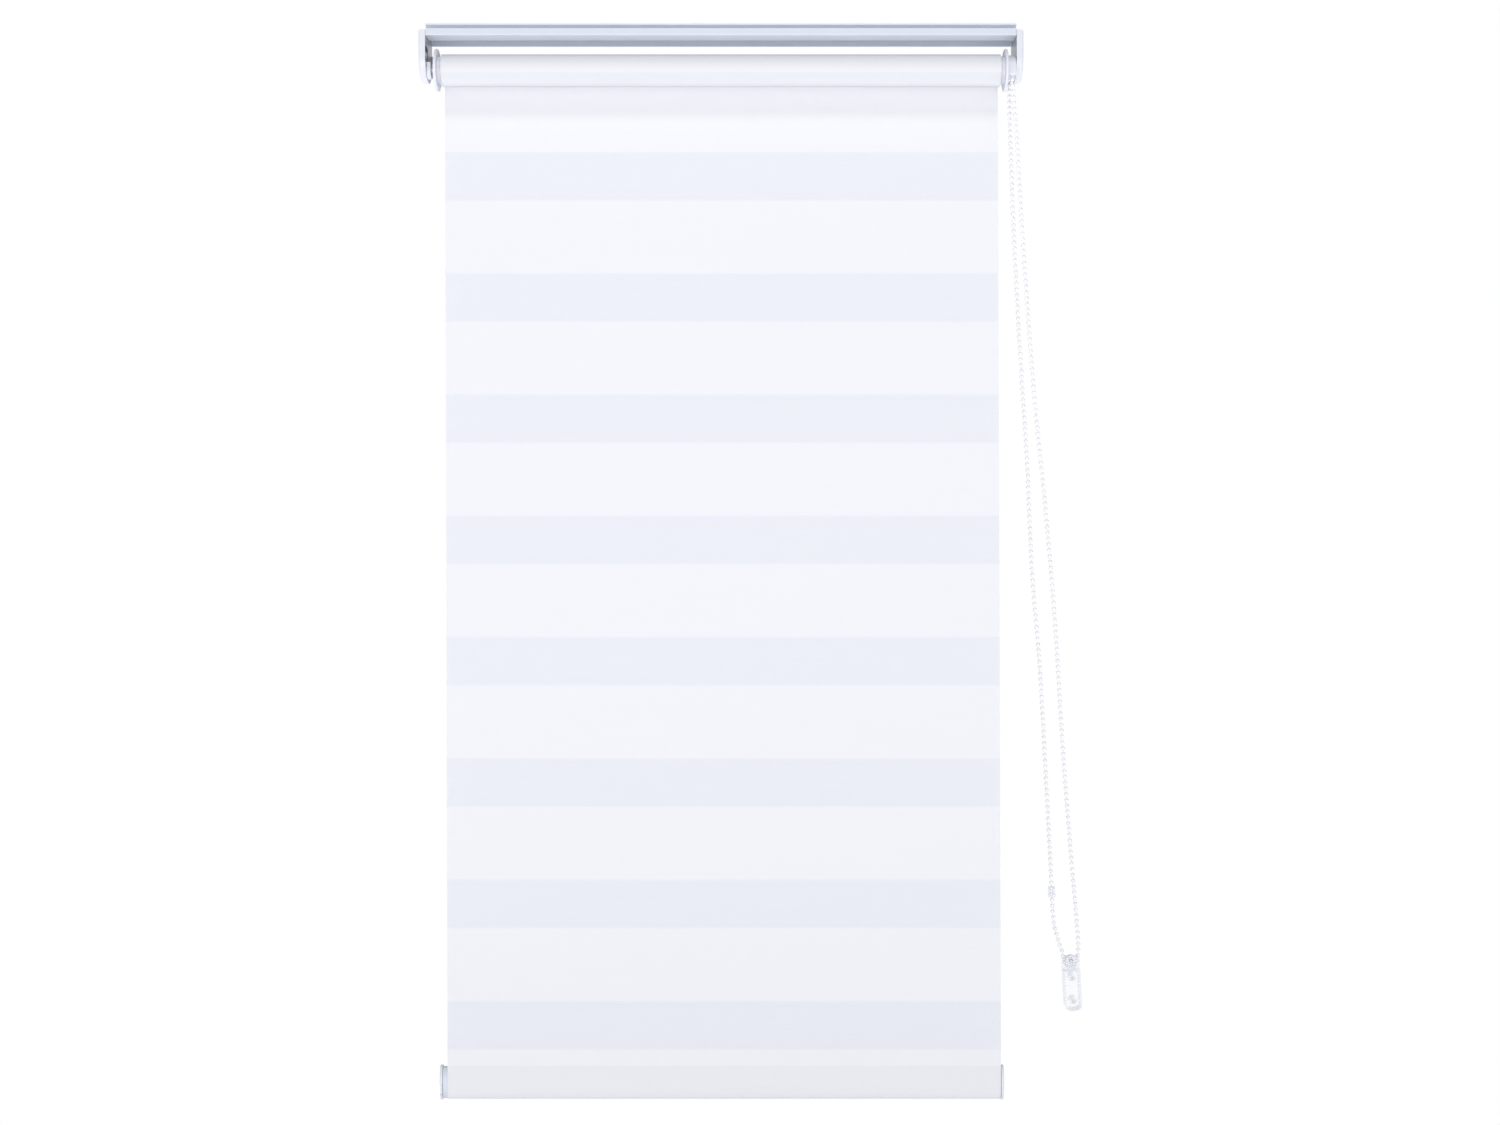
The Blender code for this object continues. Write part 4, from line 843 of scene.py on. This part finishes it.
# %% Floor
FLOOR_DROP = 0.42
FLOOR_HALF = (0.7, 0.5)
object_low = np.array(cad_bounds[0], float)
floor_mesh = bpy.data.meshes.new("pale_floor")
floor_z = object_low[2] - FLOOR_DROP
corner = np.array([(-1, -1), (1, -1), (1, 1), (-1, 1)]) * FLOOR_HALF
floor_mesh.from_pydata([(x, y, floor_z) for x, y in corner.tolist()], [], [(0, 1, 2, 3)])
floor = bpy.data.objects.new("pale_floor", floor_mesh)
bpy.context.scene.collection.objects.link(floor)
floor_finish, floor_tree, floor_shader = new_material("pale_floor", (0.94, 0.94, 0.95), 0.7)
floor_place = add(floor_tree, "ShaderNodeTexCoord").outputs["Object"]
floor_noise = stretched_noise(floor_tree, floor_place, (9.0, 9.0, 9.0))
floor_tree.links.new(mixed_colour(floor_tree, floor_noise, (0.95, 0.95, 0.96), (0.92, 0.92, 0.935)),
                     floor_shader.inputs["Base Color"])
floor_mesh.materials.append(floor_finish)
print("floor at", round(float(floor_z), 4), "m")

# %% [markdown]
# ## The light
# Behind the blind the surround is seen as plain white. As a light it is brighter from below than from above,
# as in a room with a pale floor, so the rail's underside stays light and its top edge is a little darker. A
# broad low lamp in front fills the cloth evenly, and a smaller high one draws the roll's soft shadow on it.

# %% Surround
FROM_BELOW = (1.34, 1.34, 1.38)
FROM_ABOVE = (0.31, 0.32, 0.36)
scene = bpy.context.scene
scene.view_settings.view_transform = "Standard"
world = bpy.data.worlds.new("white_studio")
scene.world = world
world.use_nodes = True
sky = world.node_tree
sky.nodes.clear()
direction = add(sky, "ShaderNodeSeparateXYZ")
sky.links.new(add(sky, "ShaderNodeTexCoord").outputs["Generated"], direction.inputs[0])
rise = add(sky, "ShaderNodeMapRange")
rise.inputs["From Min"].default_value = -0.8
rise.inputs["From Max"].default_value = 0.7
sky.links.new(direction.outputs[2], rise.inputs["Value"])
lit = add(sky, "ShaderNodeBackground")
sky.links.new(mixed_colour(sky, rise.outputs[0], FROM_BELOW, FROM_ABOVE), lit.inputs[0])
seen = add(sky, "ShaderNodeBackground")
seen.inputs[0].default_value = (1.0, 1.0, 1.0, 1.0)
choose = add(sky, "ShaderNodeMixShader")
path = add(sky, "ShaderNodeLightPath")
looked_at = math_node(sky, "MAXIMUM", path.outputs["Is Camera Ray"], path.outputs["Is Transmission Ray"])
sky.links.new(looked_at, choose.inputs[0])
sky.links.new(lit.outputs[0], choose.inputs[1])
sky.links.new(seen.outputs[0], choose.inputs[2])
sky.links.new(choose.outputs[0], add(sky, "ShaderNodeOutputWorld").inputs[0])
print("surround made:", world.name)


# %% Lamps
def soft_lamp(name, spot, aim, size, power):
    """Square area lamp at a spot, turned towards an aim."""
    data = bpy.data.lights.new(name, "AREA")
    data.size = size
    data.energy = power
    lamp = bpy.data.objects.new(name, data)
    lamp.location = spot
    way = np.array(aim) - np.array(spot)
    lamp.rotation_euler = (math.acos(-way[2] / np.linalg.norm(way)), 0.0, math.atan2(-way[0], way[1]))
    bpy.context.scene.collection.objects.link(lamp)


soft_lamp("key_lamp", spot=(-0.4, -3.0, -1.5), aim=(0.0, 0.0, -0.6), size=2.0, power=23.0)
soft_lamp("top_lamp", spot=(0.0, -4.4, 5.0), aim=(0.0, 0.0, -0.5), size=1.2, power=92.0)
